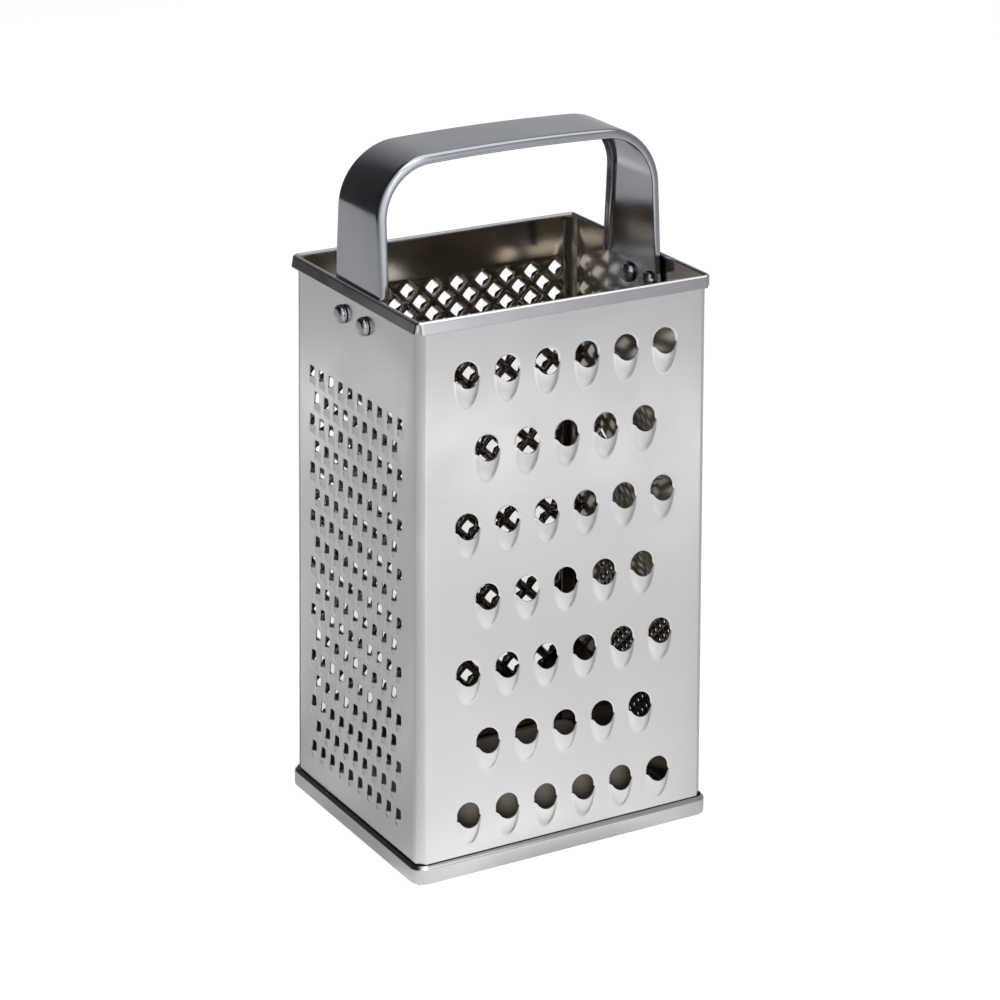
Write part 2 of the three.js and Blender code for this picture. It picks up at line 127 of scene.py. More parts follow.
@contextmanager
def editing(piece: Piece) -> Iterator[None]:
    """Hold one piece in edit mode, with edges as what is selected.

    Args:
        piece: The piece to edit.
    """
    select_only(piece)
    bpy.ops.object.mode_set(mode="EDIT")
    bpy.ops.mesh.select_mode(type="EDGE")
    try:
        yield
    finally:
        bpy.ops.object.mode_set(mode="OBJECT")


class Part(Enum):
    """What is chosen in edit mode, by the name of its list in the mesh."""

    EDGE = "edges"
    FACE = "faces"


def choose(piece: Piece, part: Part, test: Callable[..., bool]) -> None:
    """Select the edges or the faces that pass a test, and nothing else.

    Args:
        piece: The piece in edit mode.
        part: Whether edges or faces are chosen.
        test: Says whether one is wanted.
    """
    bpy.ops.mesh.select_mode(type=part.name)
    bpy.ops.mesh.select_all(action="DESELECT")
    mesh = bmesh.from_edit_mesh(piece.data)
    for found in getattr(mesh, part.value):
        found.select_set(test(found))
    bmesh.update_edit_mesh(piece.data)


def merge_points() -> None:
    """Merge the points that meet, in edit mode."""
    bpy.ops.mesh.select_all(action="SELECT")
    bpy.ops.mesh.remove_doubles(threshold=MERGE_DISTANCE)


def face_outwards() -> None:
    """Turn all faces outwards, in edit mode."""
    bpy.ops.mesh.select_all(action="SELECT")
    bpy.ops.mesh.normals_make_consistent(inside=False)


def drawn_rings(name: str, loops: Sequence[Loop]) -> Piece:
    """Extrude a circle ring by ring, and draw each ring to its own line.

    Args:
        name: Name of the new piece.
        loops: One closed line of points for each ring, all with as many points.

    Returns:
        The new piece, open at its first and last ring.
    """
    count = len(loops[0])
    piece = new_primitive(bpy.ops.mesh.primitive_circle_add, vertices=count, radius=FIRST_RING)
    rename(piece, name)
    with editing(piece):
        bpy.ops.mesh.select_all(action="SELECT")
        for ring in range(1, len(loops)):
            grow = (FIRST_RING + ring) / (FIRST_RING + ring - 1.0)
            bpy.ops.mesh.extrude_edges_move()
            bpy.ops.transform.resize(value=(grow, grow, 1.0))
    first = piece.data.vertices[0].co
    start = math.atan2(first.y, first.x)
    for vertex in piece.data.vertices:
        ring = round(vertex.co.xy.length - FIRST_RING)
        turn = (math.atan2(vertex.co.y, vertex.co.x) - start) / math.tau
        vertex.co = loops[ring][round(turn * count) % count]
    return piece


def mark_hole_edge(cell: Piece, edge_points: int) -> None:
    """Mark a hole's edge as a seam, so that it isn't taken for the cell's border. Give the faces round
    it the brighter edge steel, which is partly a burnished cut edge and partly a painted highlight.

    Args:
        cell: A cell whose first ring is the edge of its hole.
        edge_points: How many points that ring has.
    """
    for edge in cell.data.edges:
        edge.use_seam = max(edge.vertices) < edge_points
    # Brighter steel on the faces round the hole's edge, which is partly a burnished cut edge and partly
    # a painted highlight.
    for face in cell.data.polygons:
        face.material_index = BURNISH_AND_HIGHLIGHT_SLOT if min(face.vertices) < edge_points else 0


def spread(piece: Piece, count: int, step: Place) -> None:
    """Repeat a piece along a line.

    Args:
        piece: The piece to repeat, which keeps all copies in its mesh.
        count: How many there are in the end.
        step: The way from one copy to the next.
    """
    apply_modifier(
        piece,
        "copies",
        "ARRAY",
        count=count,
        use_relative_offset=False,
        use_constant_offset=True,
        constant_offset_displace=step,
    )


def copy_of(piece: Piece, name: str) -> Piece:
    """Copy a piece with a mesh of its own.

    Args:
        piece: The piece to copy.
        name: Name of the copy.

    Returns:
        The copy.
    """
    twin = piece.copy()
    twin.data = piece.data.copy()
    rename(twin, name)
    bpy.context.scene.collection.objects.link(twin)
    return twin


def moved(piece: Piece, x: float, y: float, turn: float = 0.0) -> Piece:
    """Turn a piece in its own plane, then move it across and up, in its mesh."""
    piece.data.transform(Matrix.Translation((x, y, 0.0)) @ Matrix.Rotation(turn, 4, "Z"))
    return piece


def joined(pieces: Sequence[Piece]) -> Piece:
    """Join pieces into the first of them and merge the points that meet.

    Args:
        pieces: The pieces to join.

    Returns:
        The first piece, which now holds all.
    """
    select_only(pieces[0])
    for piece in pieces[1:]:
        piece.select_set(True)
    if len(pieces) > 1:
        bpy.ops.object.join()
    with editing(pieces[0]):
        merge_points()
    return pieces[0]


def thicken(piece: Piece, thickness: float) -> None:
    """Give a sheet its thickness, behind its outer face.

    Args:
        piece: The sheet, whose faces point outwards.
        thickness: Thickness of the sheet.
    """
    apply_modifier(
        piece,
        "sheet",
        "SOLIDIFY",
        thickness=thickness,
        offset=-1.0,
        use_even_offset=True,
        thickness_clamp=1.0,
        material_offset=INNER_SLOT,
    )


def close_ends(piece: Piece) -> None:
    """Fill the open ends of a swept piece and turn its faces outwards.

    Args:
        piece: The piece to close.
    """
    with editing(piece):
        merge_points()
        choose(piece, Part.EDGE, lambda edge: len(edge.link_faces) == 1)
        bpy.ops.mesh.fill(use_beauty=True)
        face_outwards()


def finish_piece(piece: Piece, place: Matrix, nodes: Sequence[str]) -> None:
    """Place a piece in the frame, smooth it, and let it stand for its nodes.

    Args:
        piece: The modelled piece, in millimetres.
        place: Where it goes, in millimetres.
        nodes: The nodes of the frame that it stands for.
    """
    piece.data.transform(Matrix.Scale(MILLIMETRE, 4) @ place)
    select_only(piece)
    bpy.ops.object.shade_smooth_by_angle(angle=SMOOTH_ANGLE)
    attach(piece, BODY)
    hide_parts(*nodes)
    LOG.info("%s: %d faces", piece.name, len(piece.data.polygons))


# Node trees


@dataclass(frozen=True)
class Nodes:
    """A shader's node tree, with short ways to add to it."""

    tree: bpy.types.NodeTree

    def add(self, kind: str, inputs: dict | None = None, **settings: object) -> bpy.types.Node:
        """Add a node with its settings and inputs.

        Args:
            kind: Kind of the node, without the words that every shader node's kind starts with.
            inputs: What goes into each input, a constant or another node's output.
            settings: The node's own settings.

        Returns:
            The new node.
        """
        node = self.tree.nodes.new("ShaderNode" + kind)
        for name, value in settings.items():
            setattr(node, name, value)
        for name, value in (inputs or {}).items():
            if isinstance(value, Socket):
                self.tree.links.new(value, node.inputs[name])
            else:
                node.inputs[name].default_value = value
        return node

    def lead(self, value: Socket, node: str, name: str) -> None:
        """Lead a value into an input of a node that the tree already has."""
        self.tree.links.new(value, self.tree.nodes[node].inputs[name])

    def computed(self, operation: str, first: Socket, second: Socket | float) -> Socket:
        """Sum, product or other simple result of two values, the second perhaps a constant."""
        return self.add("Math", {0: first, 1: second}, operation=operation).outputs["Value"]

    def noise(self, place: Socket, scale: float, detail: float) -> Socket:
        """Soft noise by place."""
        inputs = {"Vector": place, "Scale": scale, "Detail": detail}
        return self.add("TexNoise", inputs).outputs["Fac"]

    def mixed(self, share: Socket, first: Colour, second: Colour) -> Socket:
        """Blend of two colours, by the share of the second."""
        inputs = {"Factor": share, "A": (*first, 1.0), "B": (*second, 1.0)}
        return self.add("Mix", inputs, data_type="RGBA").outputs["Result"]

    def level_by(self, value: Socket, stops: Pairs) -> Socket:
        """Brightness by a value from nought to one.

        Args:
            value: The value.
            stops: Values, each with its brightness.

        Returns:
            The brightness.
        """
        ramp = self.add("ValToRGB", {"Fac": value})
        elements = ramp.color_ramp.elements
        # A new ramp has two stops, and all of them are placed below.
        for _ in stops[2:]:
            elements.new(0.5)
        for element, (position, level) in zip(elements, stops):
            element.position = position
            element.color = (level, level, level, 1.0)
        return ramp.outputs["Color"]

    def level_round(self, way: Socket, stops: Pairs) -> Socket:
        """Brightness by the angle round the upright axis.

        Args:
            way: The direction or place.
            stops: Angles from the front, to the right, each with its brightness.

        Returns:
            The brightness.
        """
        turn = self.add("Mapping", {"Vector": way, "Rotation": (0.0, 0.0, QUARTER_TURN)})
        angle = self.add("TexGradient", {"Vector": turn.outputs["Vector"]}, gradient_type="RADIAL")
        shares = tuple((degrees / DEGREES_ROUND + 0.5, level) for degrees, level in stops)
        return self.level_by(angle.outputs["Fac"], shares)


# Finishes


@dataclass(frozen=True)
class SteelFinish:
    """Mill-finished stainless steel, with soft clouds, rolling lines and a little unevenness, and,
    where set, darkened below a height as painted shade.

    Scales count features in a metre. Rises are in metres.
    """

    name: str
    colour: Colour
    cloud_colour: Colour
    roughness: float
    roughness_spread: float = 0.15
    cloud_scale: float = 30.0
    cloud_detail: float = 2.0
    line_stretch: Place = (1.0, 1.0, 0.02)
    line_scale: float = 800.0
    line_detail: float = 2.0
    line_depth: float = 0.006
    line_rise: float = 0.0002
    wave_scale: float = 45.0
    wave_detail: float = 1.0
    wave_depth: float = 0.05
    wave_rise: float = 0.002
    # Painted shade: below one height the colour is scaled down by a factor. Above a second height it is
    # full again. Heights are in metres.
    painted_shade_below: float = 0.0
    unshaded_above: float = 1.0
    painted_shade_factor: float = 1.0

    def tint(self, nodes: Nodes, place: Socket, clouds: Socket) -> Socket:
        """Colour of the steel: clouded, and darkened below a height as painted shade.

        Args:
            nodes: The node tree to add to.
            place: The place on the piece.
            clouds: The clouds' noise.

        Returns:
            The colour.
        """
        clouded = nodes.mixed(clouds, self.colour, self.cloud_colour)
        # Painted shade by height: the clouded colour is scaled down lower on the piece.
        axes = nodes.add("SeparateXYZ", {"Vector": place})
        limits = {
            "Value": axes.outputs["Z"],
            "From Min": self.painted_shade_below,
            "From Max": self.unshaded_above,
            "To Min": self.painted_shade_factor,
        }
        shade = nodes.add("MapRange", limits).outputs["Result"]
        dimmed = nodes.add("VectorMath", {0: clouded, "Scale": shade}, operation="SCALE")
        return dimmed.outputs["Vector"]

    def gloss(self, nodes: Nodes, clouds: Socket) -> Socket:
        """Roughness of the steel, which follows the clouds."""
        low, high = (self.roughness + sign * self.roughness_spread for sign in (-1.0, 1.0))
        return nodes.add("MapRange", {"Value": clouds, "To Min": low, "To Max": high}).outputs["Result"]

    def relief(self, nodes: Nodes, place: Socket) -> Socket:
        """Unevenness of the steel: fine rolling lines on slow waves.

        Args:
            nodes: The node tree to add to.
            place: The place on the piece.

        Returns:
            The normal.
        """
        along = nodes.add("Mapping", {"Vector": place, "Scale": self.line_stretch})
        lines = {
            "Height": nodes.noise(along.outputs["Vector"], self.line_scale, self.line_detail),
            "Strength": self.line_depth,
            "Distance": self.line_rise,
        }
        waves = {
            "Height": nodes.noise(place, self.wave_scale, self.wave_detail),
            "Strength": self.wave_depth,
            "Distance": self.wave_rise,
            "Normal": nodes.add("Bump", lines).outputs["Normal"],
        }
        return nodes.add("Bump", waves).outputs["Normal"]

    def material(self) -> bpy.types.Material:
        """Make the node material.

        Returns:
            The material.
        """
        material = bpy.data.materials.new(self.name)
        material.use_nodes = True
        nodes = Nodes(material.node_tree)
        place = nodes.add("TexCoord").outputs["Object"]
        clouds = nodes.noise(place, self.cloud_scale, self.cloud_detail)
        shader = "Principled BSDF"
        nodes.tree.nodes[shader].inputs["Metallic"].default_value = 1.0
        nodes.lead(self.tint(nodes, place, clouds), shader, "Base Color")
        nodes.lead(self.gloss(nodes, clouds), shader, "Roughness")
        nodes.lead(self.relief(nodes, place), shader, "Normal")
        return material


WALL_OUTSIDE = SteelFinish("wall_outside_steel", (0.70, 0.70, 0.70), (0.64, 0.64, 0.645), 0.24)
# Inside of the walls: warmer steel. It is darkened below 0.150 m and full above 0.172 m, as painted
# shade deeper in the box below its open top.
WALL_INSIDE = SteelFinish(
    "wall_inside_steel",
    (0.69, 0.625, 0.545),
    (0.54, 0.485, 0.42),
    0.12,
    painted_shade_below=0.150,
    unshaded_above=0.172,
    painted_shade_factor=0.55,
)
# Brighter steel used as a painted highlight on the holes' edges and teeth, where it is also a burnished
# cut edge, and on the cap strip's bevel.
WALL_HIGHLIGHT_EDGE = SteelFinish("wall_edge_steel", (0.90, 0.90, 0.90), (0.84, 0.84, 0.84), 0.22)
TRIM = SteelFinish("trim_steel", (0.60, 0.60, 0.605), (0.52, 0.52, 0.525), 0.16)
STRAP = SteelFinish("strap_steel", (0.53, 0.535, 0.57), (0.42, 0.425, 0.46), 0.14)
RIVET = SteelFinish("rivet_steel", (0.44, 0.44, 0.45), (0.36, 0.36, 0.37), 0.20)

WALL_OUTSIDE_MATERIAL = WALL_OUTSIDE.material()
WALL_INSIDE_MATERIAL = WALL_INSIDE.material()
WALL_HIGHLIGHT_EDGE_MATERIAL = WALL_HIGHLIGHT_EDGE.material()
TRIM_MATERIAL = TRIM.material()
STRAP_MATERIAL = STRAP.material()
RIVET_MATERIAL = RIVET.material()


# The box and its walls


@dataclass(frozen=True)
class Box:
    """Sizes of the tapered box, in millimetres."""

    foot_width: float = 106.1
    foot_depth: float = 86.0
    height: float = 183.7
    slope: float = 0.0108
    sheet: float = 0.5
    clearance: float = 0.3
    chamfer: float = 2.5
    overhang: float = 0.1
    bend_radius: float = 0.8
    bend_steps: int = 4
    panel_foot: float = 0.9
    panel_top: float = 182.9

    def half_width(self, depth_side: bool, y: float) -> float:
        """Half of a wall's full width at a height along it."""
        foot = self.foot_depth if depth_side else self.foot_width
        return foot / 2.0 - self.slope * y


BOX = Box()


class Wall(Enum):
    """The four walls, by the angle that turns the front wall into each."""

    FRONT = 0.0
    RIGHT = 90.0
    BACK = 180.0
    LEFT = -90.0

    @property
    def is_side(self) -> bool:
        """Whether the wall runs along the depth of the box."""
        return self in (Wall.RIGHT, Wall.LEFT)

    def place(self) -> Matrix:
        """Where the wall's own plane lies: x across, y up, z out of the box.

        Returns:
            The place, in millimetres.
        """
        depth = BOX.foot_width if self.is_side else BOX.foot_depth
        turn = Matrix.Rotation(math.radians(self.value), 4, "Z")
        lean = Matrix.Rotation(QUARTER_TURN - math.atan(BOX.slope), 4, "X")
        return turn @ Matrix.Translation((0.0, -depth / 2.0, 0.0)) @ lean


@dataclass(frozen=True)
class Seam:
    """Bend and flat along one long edge of a wall.

    Args:
        set_back: How far the flat lies behind the outer corner flat.
        reach: How far the flat's free edge stands past the neighbouring wall.
        curl: Width of the part of the flat that curls in at its free edge.
        curl_line: Points of the curl, short of the free edge and out, as shares of its width.
    """

    set_back: float
    reach: float
    curl: float = 0.0
    curl_line: Pairs = ((0.45, 0.2), (0.2, -0.6))

    def flat_end(self, half: float) -> float:
        """Where the flat of a wall ends and its bend starts, from half of the wall's width."""
        bend_line = half - BOX.chamfer - self.set_back * math.sqrt(2.0)
        return bend_line - BOX.bend_radius * math.tan(EIGHTH_TURN / 2.0)

    def steps(self) -> Points:
        """Way across and way out of each step round the bend and to the free edge.

        Returns:
            The steps, from the wall's flat on.
        """
        radius = BOX.bend_radius
        tangent = radius * math.tan(EIGHTH_TURN / 2.0)
        points = []
        for step in range(BOX.bend_steps + 1):
            angle = EIGHTH_TURN * step / BOX.bend_steps
            points.append((radius * math.sin(angle) - tangent, radius * (math.cos(angle) - 1.0)))
        run = BOX.chamfer + self.reach + self.set_back * (math.sqrt(2.0) - 1.0)
        points.append((run - self.curl, self.curl - run))
        if self.curl:
            for back, out in self.curl_line:
                points.append((run - back * self.curl, out * self.curl - run))
        return [(b[0] - a[0], b[1] - a[1]) for a, b in zip(points, points[1:])]


OUTER_SEAM = Seam(set_back=0.0, reach=BOX.overhang, curl=0.4)
INNER_SEAM = Seam(set_back=BOX.sheet + BOX.clearance, reach=0.0)


@dataclass
class Panel:
    """One wall: its punched cells, the plain sheet round them and its two bent seams."""

    node: str
    wall: Wall
    seam: Seam

    def flat_end(self, y: float) -> float:
        """Half width of the wall's flat at a height along it."""
        return self.seam.flat_end(BOX.half_width(self.wall.is_side, y))

    def border(self) -> Piece:
        """Make the outline of the wall's flat.

        Returns:
            Four edges with no face.
        """
        outline = new_primitive(bpy.ops.mesh.primitive_plane_add)
        with editing(outline):
            bpy.ops.mesh.select_all(action="SELECT")
            bpy.ops.mesh.delete(type="ONLY_FACE")
        for vertex in outline.data.vertices:
            y = BOX.panel_top if vertex.co.y > 0.0 else BOX.panel_foot
            vertex.co = (math.copysign(self.flat_end(y), vertex.co.x), y, 0.0)
        return outline

    def on_side(self, edge: Edge, sign: float) -> bool:
        """Whether both ends of an edge lie on the end of the flat, on one side of the wall."""
        gaps = [abs(sign * v.co.x - self.flat_end(v.co.y)) for v in edge.verts]
        return len(edge.link_faces) == 1 and max(gaps) < MERGE_DISTANCE

    def sheet(self, cells: Sequence[Piece]) -> Piece:
        """Fill the wall round its cells, bend its seams and give it its thickness.

        Args:
            cells: Punched cells in the wall's own plane.

        Returns:
            The whole wall, in its own plane.
        """
        panel = joined([*cells, self.border()])
        rename(panel, self.node + "_sheet")
        with editing(panel):
            choose(panel, Part.EDGE, lambda edge: len(edge.link_faces) < 2 and not edge.seam)
            bpy.ops.mesh.fill(use_beauty=True)
            for sign in (-1.0, 1.0):
                choose(panel, Part.EDGE, lambda edge, side=sign: self.on_side(edge, side))
                for across, out in self.seam.steps():
                    bpy.ops.mesh.extrude_edges_move(
                        TRANSFORM_OT_translate={"value": (sign * across, 0.0, out)}
                    )
            face_outwards()
        if sum(face.normal.z * face.area for face in panel.data.polygons) < 0.0:
            with editing(panel):
                bpy.ops.mesh.select_all(action="SELECT")
                bpy.ops.mesh.flip_normals()
        self.dress(panel)
        thicken(panel, BOX.sheet)
        return panel

    def dress(self, panel: Piece) -> None:
        """Give the outside, the inside and both sides of the holes' edges their steel. The holes' edges
        get the brighter steel, which is partly a burnished cut edge and partly a painted highlight.

        Args:
            panel: The wall, in its own plane.
        """
        # Brighter steel for both sides of the holes' edges and teeth, which is partly a burnished cut
        # edge and partly a painted highlight.
        edge = WALL_HIGHLIGHT_EDGE_MATERIAL
        panel.data.materials.clear()
        for material in (WALL_OUTSIDE_MATERIAL, WALL_INSIDE_MATERIAL, edge, edge):
            panel.data.materials.append(material)

    def cells(self) -> list[Piece]:
        """Make the wall's punched cells."""
        raise NotImplementedError

    def build(self) -> None:
        """Model the wall and put it in its place."""
        panel = self.sheet(self.cells())
        finish_piece(panel, self.wall.place(), [self.node])


# Cells


def flat(x: float, y: float) -> Vector:
    """Point in a wall's own plane."""
    return Vector((x, y, 0.0))


def between(inner: Loop, outer: Loop, share: float) -> Loop:
    """Points part of the way from one line to another."""
    return [a.lerp(b, share) for a, b in zip(inner, outer)]


def raised(line: Loop, height: Callable[[float, float], float]) -> Loop:
    """Points of a line, lifted by a height that depends on their way across and way up."""
    return [Vector((p.x, p.y, height(p.x, p.y))) for p in line]


def circle_line(radius: float, height: float, count: int) -> Loop:
    """Points round a circle, from its right on, to the left."""
    angles = [math.tau * i / count for i in range(count)]
    return [Vector((radius * math.cos(a), radius * math.sin(a), height)) for a in angles]


def side_line(corners: Points, steps: Sequence[int]) -> Loop:
    """Points along the sides of a closed line.

    Args:
        corners: The line's corners.
        steps: Steps along the side that starts at each corner.

    Returns:
        The points, from the first corner on.
    """
    line = []
    for (x0, y0), (x1, y1), count in zip(corners, [*corners[1:], corners[0]], steps):
        for step in range(count):
            share = step / count
            line.append(flat(x0 + (x1 - x0) * share, y0 + (y1 - y0) * share))
    return line


def frame_line(half: float, top: float, bottom: float, side: int, level: int) -> Loop:
    """Points round an upright cell, from its right middle on, to the left."""
    corners = [(half, 0.0), (half, top), (-half, top), (-half, 0.0), (-half, bottom), (half, bottom)]
    return side_line(corners, (side, level, side, side, level, side))


def rhomb_line(half: float, rise: float, steps: int) -> Loop:
    """Points round a cell that stands on a corner, from its right corner on, to the left."""
    corners = [(half, 0.0), (0.0, rise), (-half, 0.0), (0.0, -rise)]
    return side_line(corners, (steps,) * len(corners))


@dataclass(frozen=True)
class Field:
    """Rows of cells, every second row shifted by half a pitch and one cell shorter."""

    columns: int
    rows: int
    pitch: float
    row_pitch: float
    top_row: float

    def border(self, cell_top: float, side: int, level: int) -> Loop:
        """Border of an upright cell in the field, by its upper edge and the steps along its sides."""
        return frame_line(self.pitch / 2.0, cell_top, cell_top - self.row_pitch, side, level)

    def filled(self, cell: Piece) -> list[Piece]:
        """Repeat a cell over the field.

        Args:
            cell: The cell, round the middle of its hole.

        Returns:
            The long rows and the short rows.
        """
        short = copy_of(cell, cell.name + "_short_rows")
        long_rows = (cell, self.columns, (self.rows + 1) // 2, self.top_row)
        short_rows = (short, self.columns - 1, self.rows // 2, self.top_row - self.row_pitch)
        for piece, columns, rows, top in (long_rows, short_rows):
            moved(piece, -self.pitch * (columns - 1) / 2.0, top)
            spread(piece, columns, (self.pitch, 0.0, 0.0))
            spread(piece, rows, (0.0, -2.0 * self.row_pitch, 0.0))
        return [cell, short]


def ring_cell(name: str, radius: float, rim: float, count: int) -> Piece:
    """A plain round hole with a narrow rim.

    Args:
        name: Name of the cell.
        radius: Radius of the hole.
        rim: Width of the rim.
        count: Points round the hole.

    Returns:
        The cell, round the middle of its hole.
    """
    cell = drawn_rings(name, [circle_line(r, 0.0, count) for r in (radius, radius + rim)])
    mark_hole_edge(cell, count)
    return cell


@dataclass
class CoarsePanel(Panel):
    """Front wall: large round holes, each over a scoop with a raised lip."""

    field: Field = Field(columns=6, rows=7, pitch=14.0, row_pitch=24.14, top_row=163.8)
    hole_radius: float = 4.0
    hole_rise: float = 1.2
    slit_half: float = 4.45
    notch_half: float = 4.15
    slit_gap: float = 0.24
    scoop_half: float = 4.0
    scoop_length: float = 8.7
    scoop_height: float = 1.70
    fillet_start: float = 0.96
    edge_roll: float = 0.25
    roll_width: float = 0.6
    roll_start: float = -0.25
    line_half: float = 5.2
    line_top: float = 5.95
    line_bottom: float = 10.75
    guard: float = 0.3
    cell_top: float = 10.0
    upper_shares: tuple[float, ...] = (0.3, 0.55, 0.7, 0.8, 0.86, 0.9, 0.94, 0.97, 1.0)
    lower_shares: tuple[float, ...] = (0.05, 0.2, 0.38, 0.55, 0.68, 0.78, 0.86, 0.93, 1.0)
    half_steps: int = 18
    side_steps: int = 6
    level_steps: int = 6

    def scoop(self, x: float, y: float) -> float:
        """Height of the scoop above the wall.

        Args:
            x: Way across from the middle of the scoop.
            y: Way up from the slits.

        Returns:
            The height.
        """
        r = math.hypot(x / self.scoop_half, y / self.scoop_length)
        start = self.fillet_start
        rise = math.sqrt(1.0 - start * start)
        if r <= start:
            return self.scoop_height * math.sqrt(1.0 - r * r)
        run = 2.0 * rise * rise / start
        share = max(0.0, (start + run - r) / run)
        return self.scoop_height * rise * share * share

    def hole_edge(self) -> Loop:
        """Edge of the hole: rolled in above the slits, on the scoop's lip below them.

        Returns:
            The points, from the right end of the slits on, to the left.
        """
        radius = self.hole_radius
        low = math.asin(self.hole_rise / radius)
        arc_steps = self.half_steps - 2
        upper = []
        lower = []
        for i in range(arc_steps + 1):
            over = -low + (HALF_TURN + 2.0 * low) * i / arc_steps
            under = HALF_TURN + low + (HALF_TURN - 2.0 * low) * i / arc_steps
            for angle, line in ((over, upper), (under, lower)):
                x = radius * math.cos(angle)
                line.append(flat(x, self.hole_rise + radius * math.sin(angle)))
        for line, y in ((upper, self.slit_gap), (lower, -self.slit_gap)):
            for i in (0, -1):
                line[i] = flat(math.copysign(self.notch_half, line[i].x), y)
        right = flat(self.slit_half, 0.0)
        left = flat(-self.slit_half, 0.0)
        return [right, *raised(upper, self.roll), left, *raised(lower, self.scoop)]

    def roll(self, x: float, y: float) -> float:
        """How far the sheet is rolled in round the upper edge of the hole.

        Args:
            x: Way across from the middle of the hole.
            y: Way up from the slits.

        Returns:
            The height, which is below the wall.
        """
        away = math.hypot(x, y - self.hole_rise) - self.hole_radius
        share = max(0.0, 1.0 - away / self.roll_width)
        return -self.edge_roll * share * share * min(1.0, max(0.0, y - self.roll_start))

    def outline(self, extra: float) -> Loop:
        """Line round the hole and its scoop.

        Args:
            extra: How far outside the scoop's foot.

        Returns:
            The points, as many as the hole's edge has.
        """
        line = []
        for i in range(2 * self.half_steps):
            angle = HALF_TURN * i / self.half_steps
            reach = self.line_top if i <= self.half_steps else self.line_bottom
            x = (self.line_half + extra) * math.cos(angle)
            line.append(flat(x, (reach + extra) * math.sin(angle)))
        return line

    def cells(self) -> list[Piece]:
        """Make the scoops in their rows."""
        edge = self.hole_edge()
        outline = self.outline(0.0)
        flat_edge = [flat(p.x, p.y) for p in edge]
        loops = [edge]
        half = self.half_steps
        for above, below in zip(self.upper_shares, self.lower_shares):
            upper = between(flat_edge[:half + 1], outline[:half + 1], above)
            lower = between(flat_edge[half + 1:], outline[half + 1:], below)
            loops.append([*raised(upper, self.roll), *raised(lower, self.scoop)])
        loops.append(self.outline(self.guard))
        loops.append(self.field.border(self.cell_top, self.side_steps, self.level_steps))
        cell = drawn_rings("coarse_cell", loops)
        mark_hole_edge(cell, len(edge))
        return self.field.filled(cell)


@dataclass
class FinePanel(Panel):
    """Left wall: small arched holes, each over a pointed tooth."""

    field: Field = Field(columns=10, rows=17, pitch=6.49, row_pitch=8.1, top_row=147.0)
    hole_half: float = 1.55
    hole_height: float = 3.3
    arch_line: Pairs = ((0.0, 0.0), (0.03, 0.4), (0.1, 0.82), (0.35, 0.97))
    edge_roll: float = 0.15
    edge_width: float = 0.3
    guard: float = 0.25
    tooth_height: float = 0.85
    tooth_half: float = 1.75
    tooth_length: float = 2.9
    cell_top: float = 4.2
    half_steps: int = 8
    side_steps: int = 3
    level_steps: int = 2

    def tooth(self, x: float, y: float) -> float:
        """Height of the tooth above the wall, beside its ridge and below its cutting edge."""
        away = abs(x) / self.tooth_half + max(0.0, -y) / self.tooth_length
        return self.tooth_height * max(0.0, 1.0 - away)

    def arch(self, extra: float) -> Loop:
        """Upper edge of the hole.

        Args:
            extra: How far outside the hole.

        Returns:
            The points, from right to left.
        """
        height = self.hole_height
        shape = [(self.hole_half - narrower, share * height) for narrower, share in self.arch_line]
        right = [flat(x + extra, y + extra * y / height) for x, y in shape]
        left = [flat(-p.x, p.y) for p in reversed(right)]
        return [*right, flat(0.0, height + extra), *left]

    def cells(self) -> list[Piece]:
        """Make the toothed holes in their rows, and the rivet holes."""
        steps = self.half_steps
        arch = self.arch(0.0)
        across = [2.0 * i / steps - 1.0 for i in range(1, steps)]
        lip = [flat(self.hole_half * s, 0.0) for s in across]
        foot = [flat(self.tooth_half * s, self.tooth_length * (abs(s) - 1.0)) for s in across]
        edge = [Vector((p.x, p.y, -self.edge_roll * min(1.0, p.y))) for p in arch]
        middle = between(lip, foot, 0.5)
        loops = [
            [*edge, *raised(lip, self.tooth)],
            [*self.arch(self.edge_width), *raised(middle, self.tooth)],
            [*self.arch(self.edge_width + self.guard), *foot],
            self.field.border(self.cell_top, self.side_steps, self.level_steps),
        ]
        cell = drawn_rings("fine_cell", loops)
        mark_hole_edge(cell, len(edge) + len(lip))
        return [*self.field.filled(cell), *rivet_holes(self.wall)]


